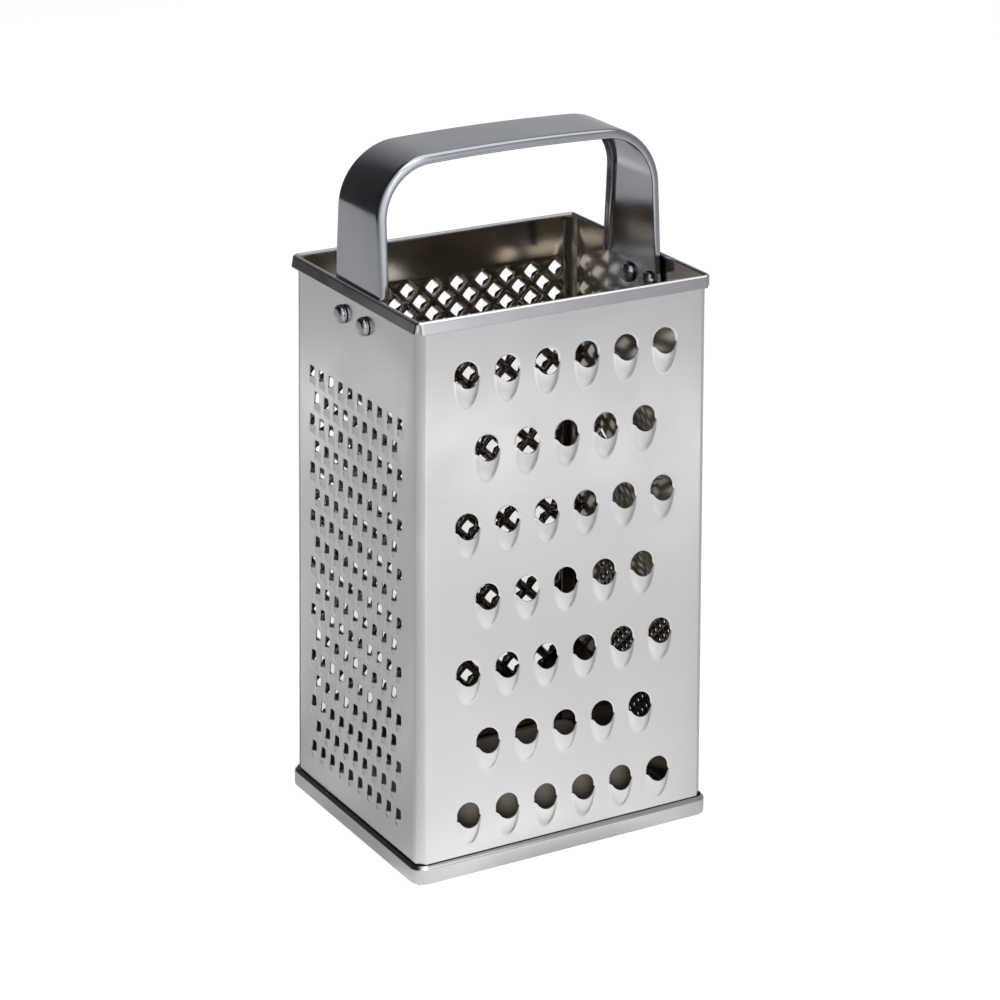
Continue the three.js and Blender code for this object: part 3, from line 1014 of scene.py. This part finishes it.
@dataclass
class CrownPanel(Panel):
    """Back wall: a close field of square holes, each with four teeth bent out of the sheet."""

    columns: int = 10
    rows: int = 32
    pitch: float = 9.25
    row_pitch: float = 4.54
    top_row: float = 165.6
    shift: float = -0.8
    hole_half: float = 2.28
    squareness: float = 3.6
    tooth_height: float = 1.2
    valley_height: float = 0.2
    tooth_lean: float = 0.1
    fold: float = 0.12
    fold_width: float = 0.08
    foot: float = 0.4
    quarter_steps: int = 4

    def hole_line(self, grow: float) -> Loop:
        """Line of a rounded square that stands on a corner.

        Args:
            grow: How far outside the hole.

        Returns:
            The points, from the right corner on, to the left.
        """
        line = []
        power = self.squareness
        for i in range(4 * self.quarter_steps):
            angle = QUARTER_TURN * i / self.quarter_steps
            u = abs(math.cos(angle - EIGHTH_TURN))
            v = abs(math.sin(angle - EIGHTH_TURN))
            reach = (self.hole_half + grow) / (u ** power + v ** power) ** (1.0 / power)
            line.append(flat(reach * math.cos(angle), reach * math.sin(angle)))
        return line

    def teeth(self) -> Loop:
        """Free edges of the four teeth.

        Returns:
            The points, with a valley at each corner of the hole.
        """
        line = self.hole_line(0.0)
        half_quarter = self.quarter_steps / 2.0
        for i, point in enumerate(line):
            share = 1.0 - abs(i % self.quarter_steps - half_quarter) / half_quarter
            lean = 1.0 - share * self.tooth_lean / self.hole_half
            rise = self.valley_height + (self.tooth_height - self.valley_height) * share
            line[i] = Vector((point.x * lean, point.y * lean, self.fold + rise))
        return line

    def cells(self) -> list[Piece]:
        """Make the toothed holes in their rows."""
        base = [Vector((p.x, p.y, self.fold)) for p in self.hole_line(self.fold_width)]
        loops = [
            self.teeth(),
            base,
            self.hole_line(self.foot),
            rhomb_line(self.pitch / 2.0, self.row_pitch, self.quarter_steps),
        ]
        cell = drawn_rings("crown_cell", loops)
        mark_hole_edge(cell, len(base))
        start = self.shift - self.pitch * (self.columns - 1) / 2.0
        even = copy_of(cell, "crown_cell_even_rows")
        moved(cell, start + self.pitch / 4.0, self.top_row - self.row_pitch)
        moved(even, start - self.pitch / 4.0, self.top_row)
        for field in (cell, even):
            spread(field, self.columns, (self.pitch, 0.0, 0.0))
            spread(field, self.rows // 2, (0.0, -2.0 * self.row_pitch, 0.0))
        return [even, cell]


@dataclass
class SlicerPanel(Panel):
    """Right wall: two slanted slicing slots with raised lips over a field of rasp holes."""

    slot_half: float = 29.0
    slot_width: float = 1.3
    slot_tilt: float = math.radians(39.0)
    slot_levels: tuple[float, ...] = (131.0, 95.0)
    lip_height: float = 1.6
    lip_length: float = 9.0
    lip_ramp: float = 6.0
    lip_shares: tuple[float, ...] = (0.06, 0.2, 0.4, 0.6, 0.8, 1.0)
    slot_corner: float = 0.3
    slot_flare: float = 0.02
    slot_guard: float = 0.4
    slot_steps: int = 24
    rasp: Field = Field(columns=9, rows=20, pitch=5.1, row_pitch=2.45, top_row=66.0)
    rasp_sides: int = 8
    burr: Pairs = ((0.85, 0.6), (1.15, 0.22), (1.4, 0.0))

    def lip(self, x: float, y: float) -> float:
        """Height of a slot's lower lip above the wall.

        Args:
            x: Way along the slot from its middle.
            y: Way up from the lip's edge.

        Returns:
            The height.
        """
        end = min(1.0, max(0.0, (self.slot_half - abs(x)) / self.lip_ramp))
        down = max(0.0, 1.0 + min(0.0, y) / self.lip_length)
        swell = end * end * (3.0 - 2.0 * end)
        return self.lip_height * swell * down * (2.0 - down)

    def slot_cell(self) -> Piece:
        """Model one slot, level.

        Returns:
            The slot, round the middle of its lip.
        """
        steps = self.slot_steps
        half = self.slot_half
        along = [half - 2.0 * half * i / steps for i in range(steps + 1)]
        upper = [flat(x, self.slot_width) for x in along]
        upper[0].y = upper[-1].y = 0.0
        upper[1].x = half - self.slot_corner
        upper[-2].x = self.slot_corner - half
        edge = [flat(-x, 0.0) for x in along[1:-1]]
        loops = [[*upper, *raised(edge, self.lip)]]
        for share in self.lip_shares:
            wider = 1.0 + self.slot_flare * share
            line = [flat(p.x * wider, p.y + self.slot_guard * share) for p in upper]
            line[0].y = line[-1].y = 0.0
            low = [flat(p.x, -self.lip_length * share) for p in edge]
            loops.append([*line, *raised(low, self.lip)])
        cell = drawn_rings("slot_cell", loops)
        mark_hole_edge(cell, len(upper) + len(edge))
        return cell

    def rasp_cell(self) -> Piece:
        """Model one rasp hole with its burr.

        Returns:
            The cell, round the middle of its hole.
        """
        count = self.rasp_sides
        loops = [circle_line(radius, height, count) for radius, height in self.burr]
        loops.append(rhomb_line(self.rasp.pitch / 2.0, self.rasp.row_pitch, count // 4))
        cell = drawn_rings("rasp_cell", loops)
        mark_hole_edge(cell, count)
        return cell

    def cells(self) -> list[Piece]:
        """Make the slots, the rasp field and the rivet holes."""
        slot = self.slot_cell()
        second = copy_of(slot, "slot_cell_second")
        for piece, level in zip((slot, second), self.slot_levels):
            moved(piece, 0.0, level, self.slot_tilt)
        rasp = self.rasp.filled(self.rasp_cell())
        return [*rasp, slot, second, *rivet_holes(self.wall)]


# Strips round the box


@dataclass
class Strip:
    """A folded strip that runs round the box, from its section."""

    node: str
    height: float
    corner_radius: float
    corner_steps: int = 8

    def section(self) -> Points:
        """Points of the section: way out from the wall's face, and height."""
        raise NotImplementedError

    def line(self, out: float, z: float) -> Loop:
        """Rounded rectangle at one point of the section.

        Args:
            out: Way out from the wall's face.
            z: Height above the strip's own level.

        Returns:
            The points.
        """
        lean = BOX.slope * self.height + self.corner_radius
        half_x = BOX.foot_width / 2.0 - lean
        half_y = BOX.foot_depth / 2.0 - lean
        radius = self.corner_radius + out
        line = []
        for corner, (sx, sy) in enumerate(((1, 1), (-1, 1), (-1, -1), (1, -1))):
            for step in range(self.corner_steps + 1):
                angle = QUARTER_TURN * (corner + step / self.corner_steps)
                x = sx * half_x + radius * math.cos(angle)
                y = sy * half_y + radius * math.sin(angle)
                line.append(Vector((x, y, self.height + z)))
        return line

    def build(self) -> None:
        """Model the strip and put it in its place."""
        section = self.section()
        loops = [self.line(out, z) for out, z in [*section, section[0]]]
        strip = drawn_rings(self.node + "_strip", loops)
        with editing(strip):
            merge_points()
            face_outwards()
        self.dress(strip)
        finish_piece(strip, Matrix.Identity(4), [self.node])

    def dress(self, strip: Piece) -> None:
        """Give the strip its steel."""
        strip.data.materials.append(TRIM_MATERIAL)


def arc(x: float, y: float, radius: float, start: float, end: float, steps: int) -> Points:
    """Points along an arc round a middle, from one angle in degrees to another."""
    angles = [math.radians(start + (end - start) * i / steps) for i in range(steps + 1)]
    return [(x + radius * math.cos(a), y + radius * math.sin(a)) for a in angles]


@dataclass
class BaseRing(Strip):
    """Folded foot: floor, rounded upright face and an inward ledge round the walls."""

    standout: float = 1.45
    sheet: float = 0.6
    wall_height: float = 4.9
    ledge_height: float = 6.3
    fold_radius: float = 0.75
    fold_steps: int = 5
    ledge_turn: float = 60.0
    ledge_drop: float = 0.2
    lip_inside: float = 1.8
    seat_gap: float = 0.4

    def section(self) -> Points:
        """Points of the section, round from the inner edge of the floor."""
        face = self.standout
        inner = face - self.sheet
        fold = self.fold_radius
        return [
            (-self.lip_inside, 0.0),
            *arc(face - fold, fold, fold, -90.0, 0.0, self.fold_steps),
            *arc(face - fold, self.wall_height, fold, 0.0, self.ledge_turn, self.fold_steps),
            (self.seat_gap, self.ledge_height),
            (self.seat_gap, self.ledge_height - self.sheet),
            (inner, self.wall_height - self.ledge_drop),
            (inner, self.sheet),
            (-self.lip_inside, self.sheet),
        ]


@dataclass
class CapStrip(Strip):
    """Strip over the upper edges: a crown with a bevel painted brighter as a highlight, and a leg that
    leans out.
    """

    sheet: float = 0.5
    depth: float = 3.9
    standout: float = 1.5
    crown_width: float = 0.9
    crown_radius: float = 0.7
    crown_turn: float = 100.0
    crown_steps: int = 6
    leg_turn: float = 10.0
    bend_steps: int = 3
    bevel_bend: float = 0.25
    bevel_radius: float = 2.0
    bevel_from: float = 40.0
    bevel_to: float = 62.0
    tuck: float = 0.95
    leg_shares: tuple[float, ...] = (0.06, 0.94)
    pinch: float = 1.3
    pinch_rise: float = 1.2
    pinch_steps: float = 2.2
    edge_break: float = 0.1
    inner_lip: float = 0.25
    inner_depth: float = 1.1
    seat_gap: float = 0.45

    def line(self, out: float, z: float) -> Loop:
        """Rounded rectangle at one point of the section, its corners pinched, one of them tucked in.

        Args:
            out: Way out from the wall's face.
            z: Height above the strip's own level.

        Returns:
            The points.
        """
        line = super().line(out, z)
        leg = min(1.0, max(0.0, -z - self.crown_radius) / self.depth) if out > 0.0 else 0.0
        for i, point in enumerate(line):
            step = i % (self.corner_steps + 1) - self.corner_steps / 2.0
            fold = math.exp(-((step / self.pinch_steps) ** 2))
            inward = Vector((-point.x, -point.y, 0.0)).normalized()
            diagonal = Vector((math.copysign(1.0, inward.x), math.copysign(1.0, inward.y), 0.0))
            point += diagonal.normalized() * self.pinch * fold * leg
            point.z += self.pinch_rise * fold * leg
            if point.x > 0.0 > point.y:
                point.x -= self.tuck * max(0.0, out) / self.standout
        return line

    def crown(self) -> Points:
        """Outer edge of the crown, from the leg up: a bevel between two small bends."""
        bends = (
            (self.bevel_bend, self.leg_turn, self.bevel_from),
            (self.bevel_radius, self.bevel_from, self.bevel_to),
            (self.bevel_bend, self.bevel_to, 90.0),
        )
        points = [(self.crown_width, 0.0)]
        for radius, start, end in bends:
            x, z = points[-1]
            turn = math.radians(start)
            middle = (x - radius * math.cos(turn), z - radius * math.sin(turn))
            points += arc(*middle, radius, start, end, self.bend_steps)[1:]
        rise = points[-1][1]
        return [(x, z - rise) for x, z in points]

    def dress(self, strip: Piece) -> None:
        """Give the strip its steel, and paint the bevel's faces that look up and out with the brighter
        steel, as a painted highlight.

        Args:
            strip: The strip.
        """
        super().dress(strip)
        strip.data.materials.append(WALL_HIGHLIGHT_EDGE_MATERIAL)
        # Painted highlight: outward faces that lie at the bevel's angles get the brighter steel.
        low = math.sin(math.radians(self.bevel_from))
        high = math.sin(math.radians(self.bevel_to))
        for face in strip.data.polygons:
            outward = face.normal.xy.dot(face.center.xy) > 0.0
            face.material_index = int(outward and low < face.normal.z < high)

    def section(self) -> Points:
        """Points of the section, round from the inner edge."""
        edge = self.sheet / 2.0
        round_edge = edge / 2.0
        bend = self.crown_radius
        inside = BOX.sheet + self.inner_lip
        back = self.standout - self.sheet
        middle = (self.standout - round_edge, -self.depth + round_edge)
        lip = arc(*middle, round_edge, -90.0, self.leg_turn, self.bend_steps)
        crown = self.crown()
        low = Vector(lip[-1])
        high = Vector(crown[0])
        return [
            (-BOX.sheet, -self.inner_depth),
            (-BOX.sheet, -self.sheet),
            (self.seat_gap, -self.sheet),
            (self.seat_gap, -self.sheet - edge),
            (back, -self.depth + self.edge_break),
            (back + self.edge_break, -self.depth),
            *lip,
            *[tuple(low.lerp(high, share)) for share in self.leg_shares],
            *crown,
            *arc(bend - inside, -bend, bend, self.crown_turn, 180.0, self.crown_steps),
            (-inside, -self.inner_depth),
        ]


# Handle


@dataclass
class Handle:
    """Channel-section strap, bent to an arch and riveted inside the side walls."""

    top: float = 226.3
    end: float = 165.0
    corner_radius: float = 19.45
    crown_radius: float = 750.0
    top_width: float = 24.7
    foot_width: float = 31.0
    sheet: float = 0.8
    flange_depth: float = 3.0
    flange_end: float = 177.6
    edge_radius: float = 2.1
    inner_fillet: float = 1.3
    edge_steps: int = 8
    fillet_steps: int = 4
    corner_steps: int = 16
    crown_steps: int = 8
    leg_steps: int = 6

    def section(self, width: float) -> Points:
        """Section of the channel: way across, and depth from the outer face.

        Args:
            width: Full width of the strap.

        Returns:
            The points of the closed line.
        """
        half = width / 2.0
        radius = self.edge_radius
        inside = half - self.sheet
        lip = self.sheet / 2.0
        fillet = self.inner_fillet
        hollow = arc(inside - fillet, self.sheet + fillet, fillet, -90.0, 0.0, self.fillet_steps)
        right = [
            *arc(half - radius, radius, radius, -90.0, 0.0, self.edge_steps),
            *arc(half - lip, self.flange_depth - lip, lip, 0.0, 180.0, self.edge_steps),
            *reversed(hollow),
        ]
        return [*right, *[(-y, depth) for y, depth in reversed(right)]]

    def width_at(self, z: float) -> float:
        """Width of the strap at a height, which grows down to the mouth and on."""
        share = (self.top - z) / (self.top - BOX.height)
        return self.top_width + (self.foot_width - self.top_width) * share

    def stations(self) -> list[tuple[float, float, float]]:
        """Places along the outer face: way across, height, and angle of the face.

        Returns:
            The places, from the right foot to the left foot.
        """
        lean = math.atan(BOX.slope)
        stretch = math.hypot(1.0, BOX.slope)
        leg_foot = BOX.foot_width / 2.0 - (BOX.sheet + BOX.clearance) * stretch
        crown = self.top - self.crown_radius
        reach = self.crown_radius - self.corner_radius
        offset = leg_foot - self.corner_radius * stretch
        a = stretch * stretch
        b = offset * BOX.slope + crown
        c = offset * offset + crown * crown - reach * reach
        corner_z = (b + math.sqrt(b * b - a * c)) / a
        corner_x = offset - BOX.slope * corner_z
        crown_start = QUARTER_TURN - math.atan2(corner_x, corner_z - crown)
        arc_start = corner_z + self.corner_radius * math.sin(lean)
        places = []
        for i in range(self.leg_steps):
            z = self.end + (arc_start - self.end) * i / self.leg_steps
            places.append((leg_foot - BOX.slope * z, z, lean))
        for i in range(self.corner_steps):
            angle = lean + (crown_start - lean) * i / self.corner_steps
            x = corner_x + self.corner_radius * math.cos(angle)
            places.append((x, corner_z + self.corner_radius * math.sin(angle), angle))
        for i in range(self.crown_steps + 1):
            angle = crown_start + (QUARTER_TURN - crown_start) * i / self.crown_steps
            x = self.crown_radius * math.cos(angle)
            places.append((x, crown + self.crown_radius * math.sin(angle), angle))
        mirrored = [(-x, z, HALF_TURN - angle) for x, z, angle in reversed(places[:-1])]
        return [*places, *mirrored]

    def cut_flanges(self, strap: Piece, wall: Wall) -> None:
        """Cut the flanges off square above the rivets.

        Args:
            strap: The strap.
            wall: The side wall that the tongue lies on.
        """
        back = BOX.sheet + BOX.clearance + self.sheet
        drop = 2.0 * (self.flange_end - self.end)
        cutter = new_primitive(bpy.ops.mesh.primitive_cube_add, size=1.0)
        size = Matrix.Diagonal((2.0 * self.foot_width, drop, self.flange_depth, 1.0))
        middle = (0.0, self.flange_end - drop / 2.0, -back - self.flange_depth / 2.0)
        cutter.data.transform(wall.place() @ Matrix.Translation(middle) @ size)
        apply_modifier(
            strap, "flange_end", "BOOLEAN", operation="DIFFERENCE", object=cutter, solver="EXACT"
        )
        bpy.data.objects.remove(cutter)

    def build(self) -> None:
        """Model the strap and put it in its place."""
        loops = []
        for x, z, angle in self.stations():
            section = self.section(self.width_at(z))
            inward = (-math.cos(angle), -math.sin(angle))
            loops.append([Vector((x + inward[0] * d, y, z + inward[1] * d)) for y, d in section])
        strap = drawn_rings("handle_strap", loops)
        close_ends(strap)
        for wall in (Wall.LEFT, Wall.RIGHT):
            self.cut_flanges(strap, wall)
        strap.data.materials.append(STRAP_MATERIAL)
        finish_piece(strap, Matrix.Identity(4), ["handle"])


# Rivets


@dataclass(frozen=True)
class Rivets:
    """Two rivets through each side wall and the tongue behind it."""

    level: float = 173.2
    left_spacing: float = 14.6
    left_shift: float = -0.3
    right_spacing: float = 11.8
    right_shift: float = -2.7
    shank_radius: float = 1.6
    button_radius: float = 3.0
    button_height: float = 2.0
    button_edge: float = 1.5
    dome_radius: float = 3.4
    dome_height: float = 2.3
    dome_steps: int = 7
    edge_steps: int = 5
    sides: int = 32
    hole_rim: float = 0.5
    hole_sides: int = 16

    def places(self, wall: Wall) -> Points:
        """Where the rivets sit in a side wall's own plane.

        Args:
            wall: The side wall.

        Returns:
            Way across and height of each rivet.
        """
        on_left = wall is Wall.LEFT
        shift = self.left_shift if on_left else self.right_shift
        half = (self.left_spacing if on_left else self.right_spacing) / 2.0
        return [(shift + side * half, self.level) for side in (-1.0, 1.0)]

    def model(self) -> Piece:
        """Model one rivet: a flat button outside, a shank, and a dome inside.

        Returns:
            The rivet, with its axis out of the wall.
        """
        gap = BOX.clearance
        strap = Handle().sheet
        through = BOX.sheet + gap + strap + 2.0 * gap
        rivet = new_primitive(
            bpy.ops.mesh.primitive_cylinder_add,
            vertices=self.sides,
            radius=self.button_radius,
            depth=self.button_height,
            location=(0.0, 0.0, gap + self.button_height / 2.0),
        )
        bpy.ops.object.transform_apply(location=True, rotation=False, scale=False)
        rim = gap + self.button_height - MERGE_DISTANCE
        with editing(rivet):
            choose(rivet, Part.EDGE, lambda edge: min(v.co.z for v in edge.verts) > rim)
            bpy.ops.mesh.bevel(offset=self.button_edge, segments=self.edge_steps, affect="EDGES")
            choose(rivet, Part.FACE, lambda polygon: polygon.normal.z < FACING_DOWN)
            self.step(self.shank_radius / self.button_radius, 0.0)
            self.step(1.0, -through)
            self.step(self.dome_radius / self.shank_radius, 0.0)
            for i in range(1, self.dome_steps):
                here = QUARTER_TURN * i / self.dome_steps
                before = QUARTER_TURN * (i - 1) / self.dome_steps
                drop = self.dome_height * (math.sin(before) - math.sin(here))
                self.step(math.cos(here) / math.cos(before), drop)
        return rivet

    def step(self, grow: float, drop: float) -> None:
        """Extrude the chosen face, move it along the axis and make it wider or narrower."""
        bpy.ops.mesh.extrude_region_move(TRANSFORM_OT_translate={"value": (0.0, 0.0, drop)})
        bpy.ops.transform.resize(value=(grow, grow, 1.0))

    def build(self) -> None:
        """Model the rivets and put them in their places."""
        first = self.model()
        first.data.materials.append(RIVET_MATERIAL)
        for wall, side in ((Wall.LEFT, "left"), (Wall.RIGHT, "right")):
            for index, (x, y) in enumerate(self.places(wall), start=1):
                node = f"rivet_{side}_{index}"
                rivet = copy_of(first, node + "_head")
                place = wall.place() @ Matrix.Translation((x, y, 0.0))
                finish_piece(rivet, place, [node])
        bpy.data.objects.remove(first)


RIVETS = Rivets()


def rivet_holes(wall: Wall) -> list[Piece]:
    """Rimmed holes in a side wall, one for each rivet.

    Args:
        wall: The side wall.

    Returns:
        The holes, in the wall's own plane.
    """
    radius = RIVETS.shank_radius + BOX.clearance
    holes = []
    for x, y in RIVETS.places(wall):
        hole = ring_cell("rivet_hole", radius, RIVETS.hole_rim, RIVETS.hole_sides)
        holes.append(moved(hole, x, y))
    return holes


# Studio

# Angle from the front, to the right, and how bright the studio looks that way in the metal.
FLOOR_LEVELS: Pairs = (
    (-180.0, 0.04),
    (-155.0, 0.22),
    (-147.0, 0.24),
    (-143.0, 0.14),
    (-138.0, 0.0),
    (-130.0, 0.08),
    (-122.0, 0.14),
    (-100.0, 0.02),
    (-80.0, 0.03),
    (-66.0, 0.12),
    (-52.0, 0.50),
    (-35.0, 0.62),
    (5.0, 0.56),
    (18.0, 0.48),
    (28.0, 0.46),
    (40.0, 0.42),
    (60.0, 0.04),
    (120.0, 0.03),
    (180.0, 0.04),
)
ROOM_LEVELS: Pairs = (
    (-180.0, 0.22),
    (-165.0, 0.06),
    (-140.0, 0.03),
    (-95.0, 0.02),
    (-65.0, 0.30),
    (-40.0, 1.1),
    (10.0, 1.5),
    (22.0, 1.3),
    (25.0, 1.0),
    (28.0, 0.80),
    (32.0, 0.56),
    (36.0, 0.50),
    (60.0, 0.34),
    (110.0, 0.36),
    (145.0, 0.54),
    (180.0, 0.22),
)

# Distance from the box's axis on the floor, in metres, and the share of the brightness there.
FLOOR_REACH: Pairs = (
    (0.0, 0.2),
    (0.045, 0.25),
    (0.062, 1.1),
    (0.1, 0.95),
    (0.14, 0.9),
    (0.2, 0.72),
    (0.28, 0.72),
    (0.36, 0.95),
    (0.44, 1.9),
    (0.5, 1.9),
    (0.57, 0.2),
    (1.0, 0.05),
)


@dataclass(frozen=True)
class Studio:
    """Pale floor, soft lamps, dim surroundings and the camera."""

    lens: float = 116.53
    sensor: float = 36.0
    near_clip: float = 0.01
    azimuth: float = -29.98
    elevation: float = 20.543
    roll: float = 0.280
    distance: float = 1.03536
    target_height: float = 0.1078
    shift_x: float = 0.0011
    shift_y: float = -0.0079
    floor_size: float = 2.4
    floor_colour: Colour = (0.50, 0.50, 0.50)
    # Floor colour inside the box's footprint, which is a painted shadow under the grater.
    painted_shadow_colour: Colour = (0.16, 0.14, 0.115)
    floor_white: float = 0.58
    room_colour: Colour = (0.95, 0.97, 1.0)
    room_share: float = 0.35
    key_strength: float = 5.3
    key_angle: float = math.radians(6.0)
    key_place: Place = (-1.39, -2.41, 1.25)

    def camera(self) -> None:
        """Stand the camera where the photograph was taken from."""
        a = math.radians(self.azimuth)
        e = math.radians(self.elevation)
        r = math.radians(self.roll)
        back = Vector((math.sin(a) * math.cos(e), -math.cos(a) * math.cos(e), math.sin(e)))
        right = Vector((0.0, 0.0, 1.0)).cross(back).normalized()
        up = back.cross(right)
        level = math.cos(r) * right + math.sin(r) * up
        upright = -math.sin(r) * right + math.cos(r) * up
        data = bpy.data.cameras.new("camera")
        data.lens = self.lens
        data.sensor_width = self.sensor
        data.shift_x = self.shift_x
        data.shift_y = self.shift_y
        data.clip_start = self.near_clip
        camera = bpy.data.objects.new("camera", data)
        place = Matrix((level, upright, back)).transposed().to_4x4()
        place.translation = back * self.distance + Vector((0.0, 0.0, self.target_height))
        camera.matrix_world = place
        bpy.context.scene.collection.objects.link(camera)
        bpy.context.scene.camera = camera

    def outside_box(self, nodes: Nodes, place: Socket) -> Socket:
        """One outside the box's footprint and nought inside it.

        Args:
            nodes: The node tree to add to.
            place: The place on the floor.

        Returns:
            The mask.
        """
        axes = nodes.add("SeparateXYZ", {"Vector": place}).outputs
        across = nodes.computed("ABSOLUTE", axes["X"], 0.0)
        deep = nodes.computed("ABSOLUTE", axes["Y"], 0.0)
        right = nodes.computed("GREATER_THAN", across, BOX.foot_width / 2.0 * MILLIMETRE)
        ahead = nodes.computed("GREATER_THAN", deep, BOX.foot_depth / 2.0 * MILLIMETRE)
        return nodes.computed("MAXIMUM", right, ahead)

    def floor(self) -> None:
        """Lay the pale floor, which stays white to the camera outside the shadow and has a painted
        shadow in its colour inside the box's footprint.
        """
        floor = new_primitive(bpy.ops.mesh.primitive_plane_add, size=self.floor_size)
        floor.name = "floor"
        material = bpy.data.materials.new("floor_paper")
        material.use_nodes = True
        nodes = Nodes(material.node_tree)
        nodes.tree.nodes.remove(nodes.tree.nodes["Principled BSDF"])
        path = nodes.add("LightPath").outputs
        place = nodes.add("TexCoord").outputs["Object"]
        outside = self.outside_box(nodes, place)
        # Painted shadow: the floor inside the box's footprint takes the dark colour.
        shade = nodes.mixed(outside, self.painted_shadow_colour, self.floor_colour)
        paper = nodes.add("BsdfDiffuse", {"Color": shade})
        away = nodes.add("VectorMath", {0: place}, operation="LENGTH")
        reach = nodes.level_by(away.outputs["Value"], FLOOR_REACH)
        level = nodes.computed("MULTIPLY", nodes.level_round(place, FLOOR_LEVELS), reach)
        mirrored = nodes.computed("MULTIPLY", level, path["Is Glossy Ray"])
        direct = nodes.computed("MULTIPLY", path["Is Camera Ray"], self.floor_white)
        seen = nodes.computed("ADD", mirrored, direct)
        glow = nodes.add("Emission", {"Strength": nodes.computed("MULTIPLY", seen, outside)})
        both = nodes.add("AddShader", {0: paper.outputs["BSDF"], 1: glow.outputs["Emission"]})
        nodes.lead(both.outputs["Shader"], "Material Output", "Surface")
        floor.data.materials.append(material)

    def lamp(self, name: str, place: Place, size: tuple[float, float], watts: float) -> None:
        """Hang a soft rectangular lamp that points at the grater.

        Args:
            name: Name of the lamp.
            place: Where it hangs.
            size: Its width and height.
            watts: Its power.
        """
        data = bpy.data.lights.new(name, "AREA")
        data.shape = "RECTANGLE"
        data.size, data.size_y = size
        data.energy = watts
        self.point(data, place)

    def point(self, data: bpy.types.Light, place: Place) -> Piece:
        """Place a lamp and point it at the grater.

        Args:
            data: The lamp's data.
            place: Where it hangs.

        Returns:
            The lamp.
        """
        lamp = bpy.data.objects.new(data.name, data)
        aim = Vector((0.0, 0.0, self.target_height)) - Vector(place)
        lamp.location = place
        lamp.rotation_euler = aim.to_track_quat("-Z", "Y").to_euler()
        bpy.context.scene.collection.objects.link(lamp)
        return lamp

    def key_lamp(self) -> None:
        """Light the floor from beside the camera, so that the shadow falls behind the grater."""
        data = bpy.data.lights.new("key_lamp", "SUN")
        data.energy = self.key_strength
        data.angle = self.key_angle
        self.point(data, self.key_place).visible_glossy = False

    def surroundings(self) -> None:
        """Paint the room: bright in front, grey to the right, dark to the left."""
        world = bpy.data.worlds.new("room")
        bpy.context.scene.world = world
        world.use_nodes = True
        nodes = Nodes(world.node_tree)
        room = nodes.tree.nodes["Background"]
        room.inputs["Color"].default_value = (*self.room_colour, 1.0)
        way = nodes.add("TexCoord").outputs["Generated"]
        path = nodes.add("LightPath").outputs
        share = nodes.computed("MAXIMUM", path["Is Glossy Ray"], self.room_share)
        strength = nodes.computed("MULTIPLY", nodes.level_round(way, ROOM_LEVELS), share)
        nodes.lead(strength, "Background", "Strength")
        white = nodes.add("Background", {"Color": (1.0, 1.0, 1.0, 1.0)})
        shaders = {1: room.outputs["Background"], 2: white.outputs["Background"]}
        choice = nodes.add("MixShader", {"Fac": path["Is Camera Ray"], **shaders})
        nodes.lead(choice.outputs["Shader"], "World Output", "Surface")

    def build(self) -> None:
        """Set up the floor, the lamps, the surroundings and the camera."""
        bpy.context.scene.view_settings.view_transform = "Standard"
        self.camera()
        self.floor()
        self.surroundings()
        self.lamp("top_lamp", place=(0.25, -0.25, 1.6), size=(1.4, 1.4), watts=6.1)
        self.key_lamp()
        self.lamp("strip_lamp", place=(-0.25, -1.5, 1.0), size=(0.12, 1.0), watts=1.2)


def main() -> None:
    """Build the grater piece by piece, then the studio."""
    logging.basicConfig(level=logging.INFO, format="%(message)s")
    CoarsePanel("coarse_panel", Wall.FRONT, OUTER_SEAM).build()
    FinePanel("fine_panel", Wall.LEFT, INNER_SEAM).build()
    CrownPanel("crown_panel", Wall.BACK, OUTER_SEAM).build()
    SlicerPanel("slicer_panel", Wall.RIGHT, INNER_SEAM).build()
    BaseRing("base_ring", height=0.0, corner_radius=3.2).build()
    CapStrip("cap_strip", height=BOX.height, corner_radius=1.2, corner_steps=12).build()
    Handle().build()
    RIVETS.build()
    Studio().build()


if __name__ == "__main__":
    main()
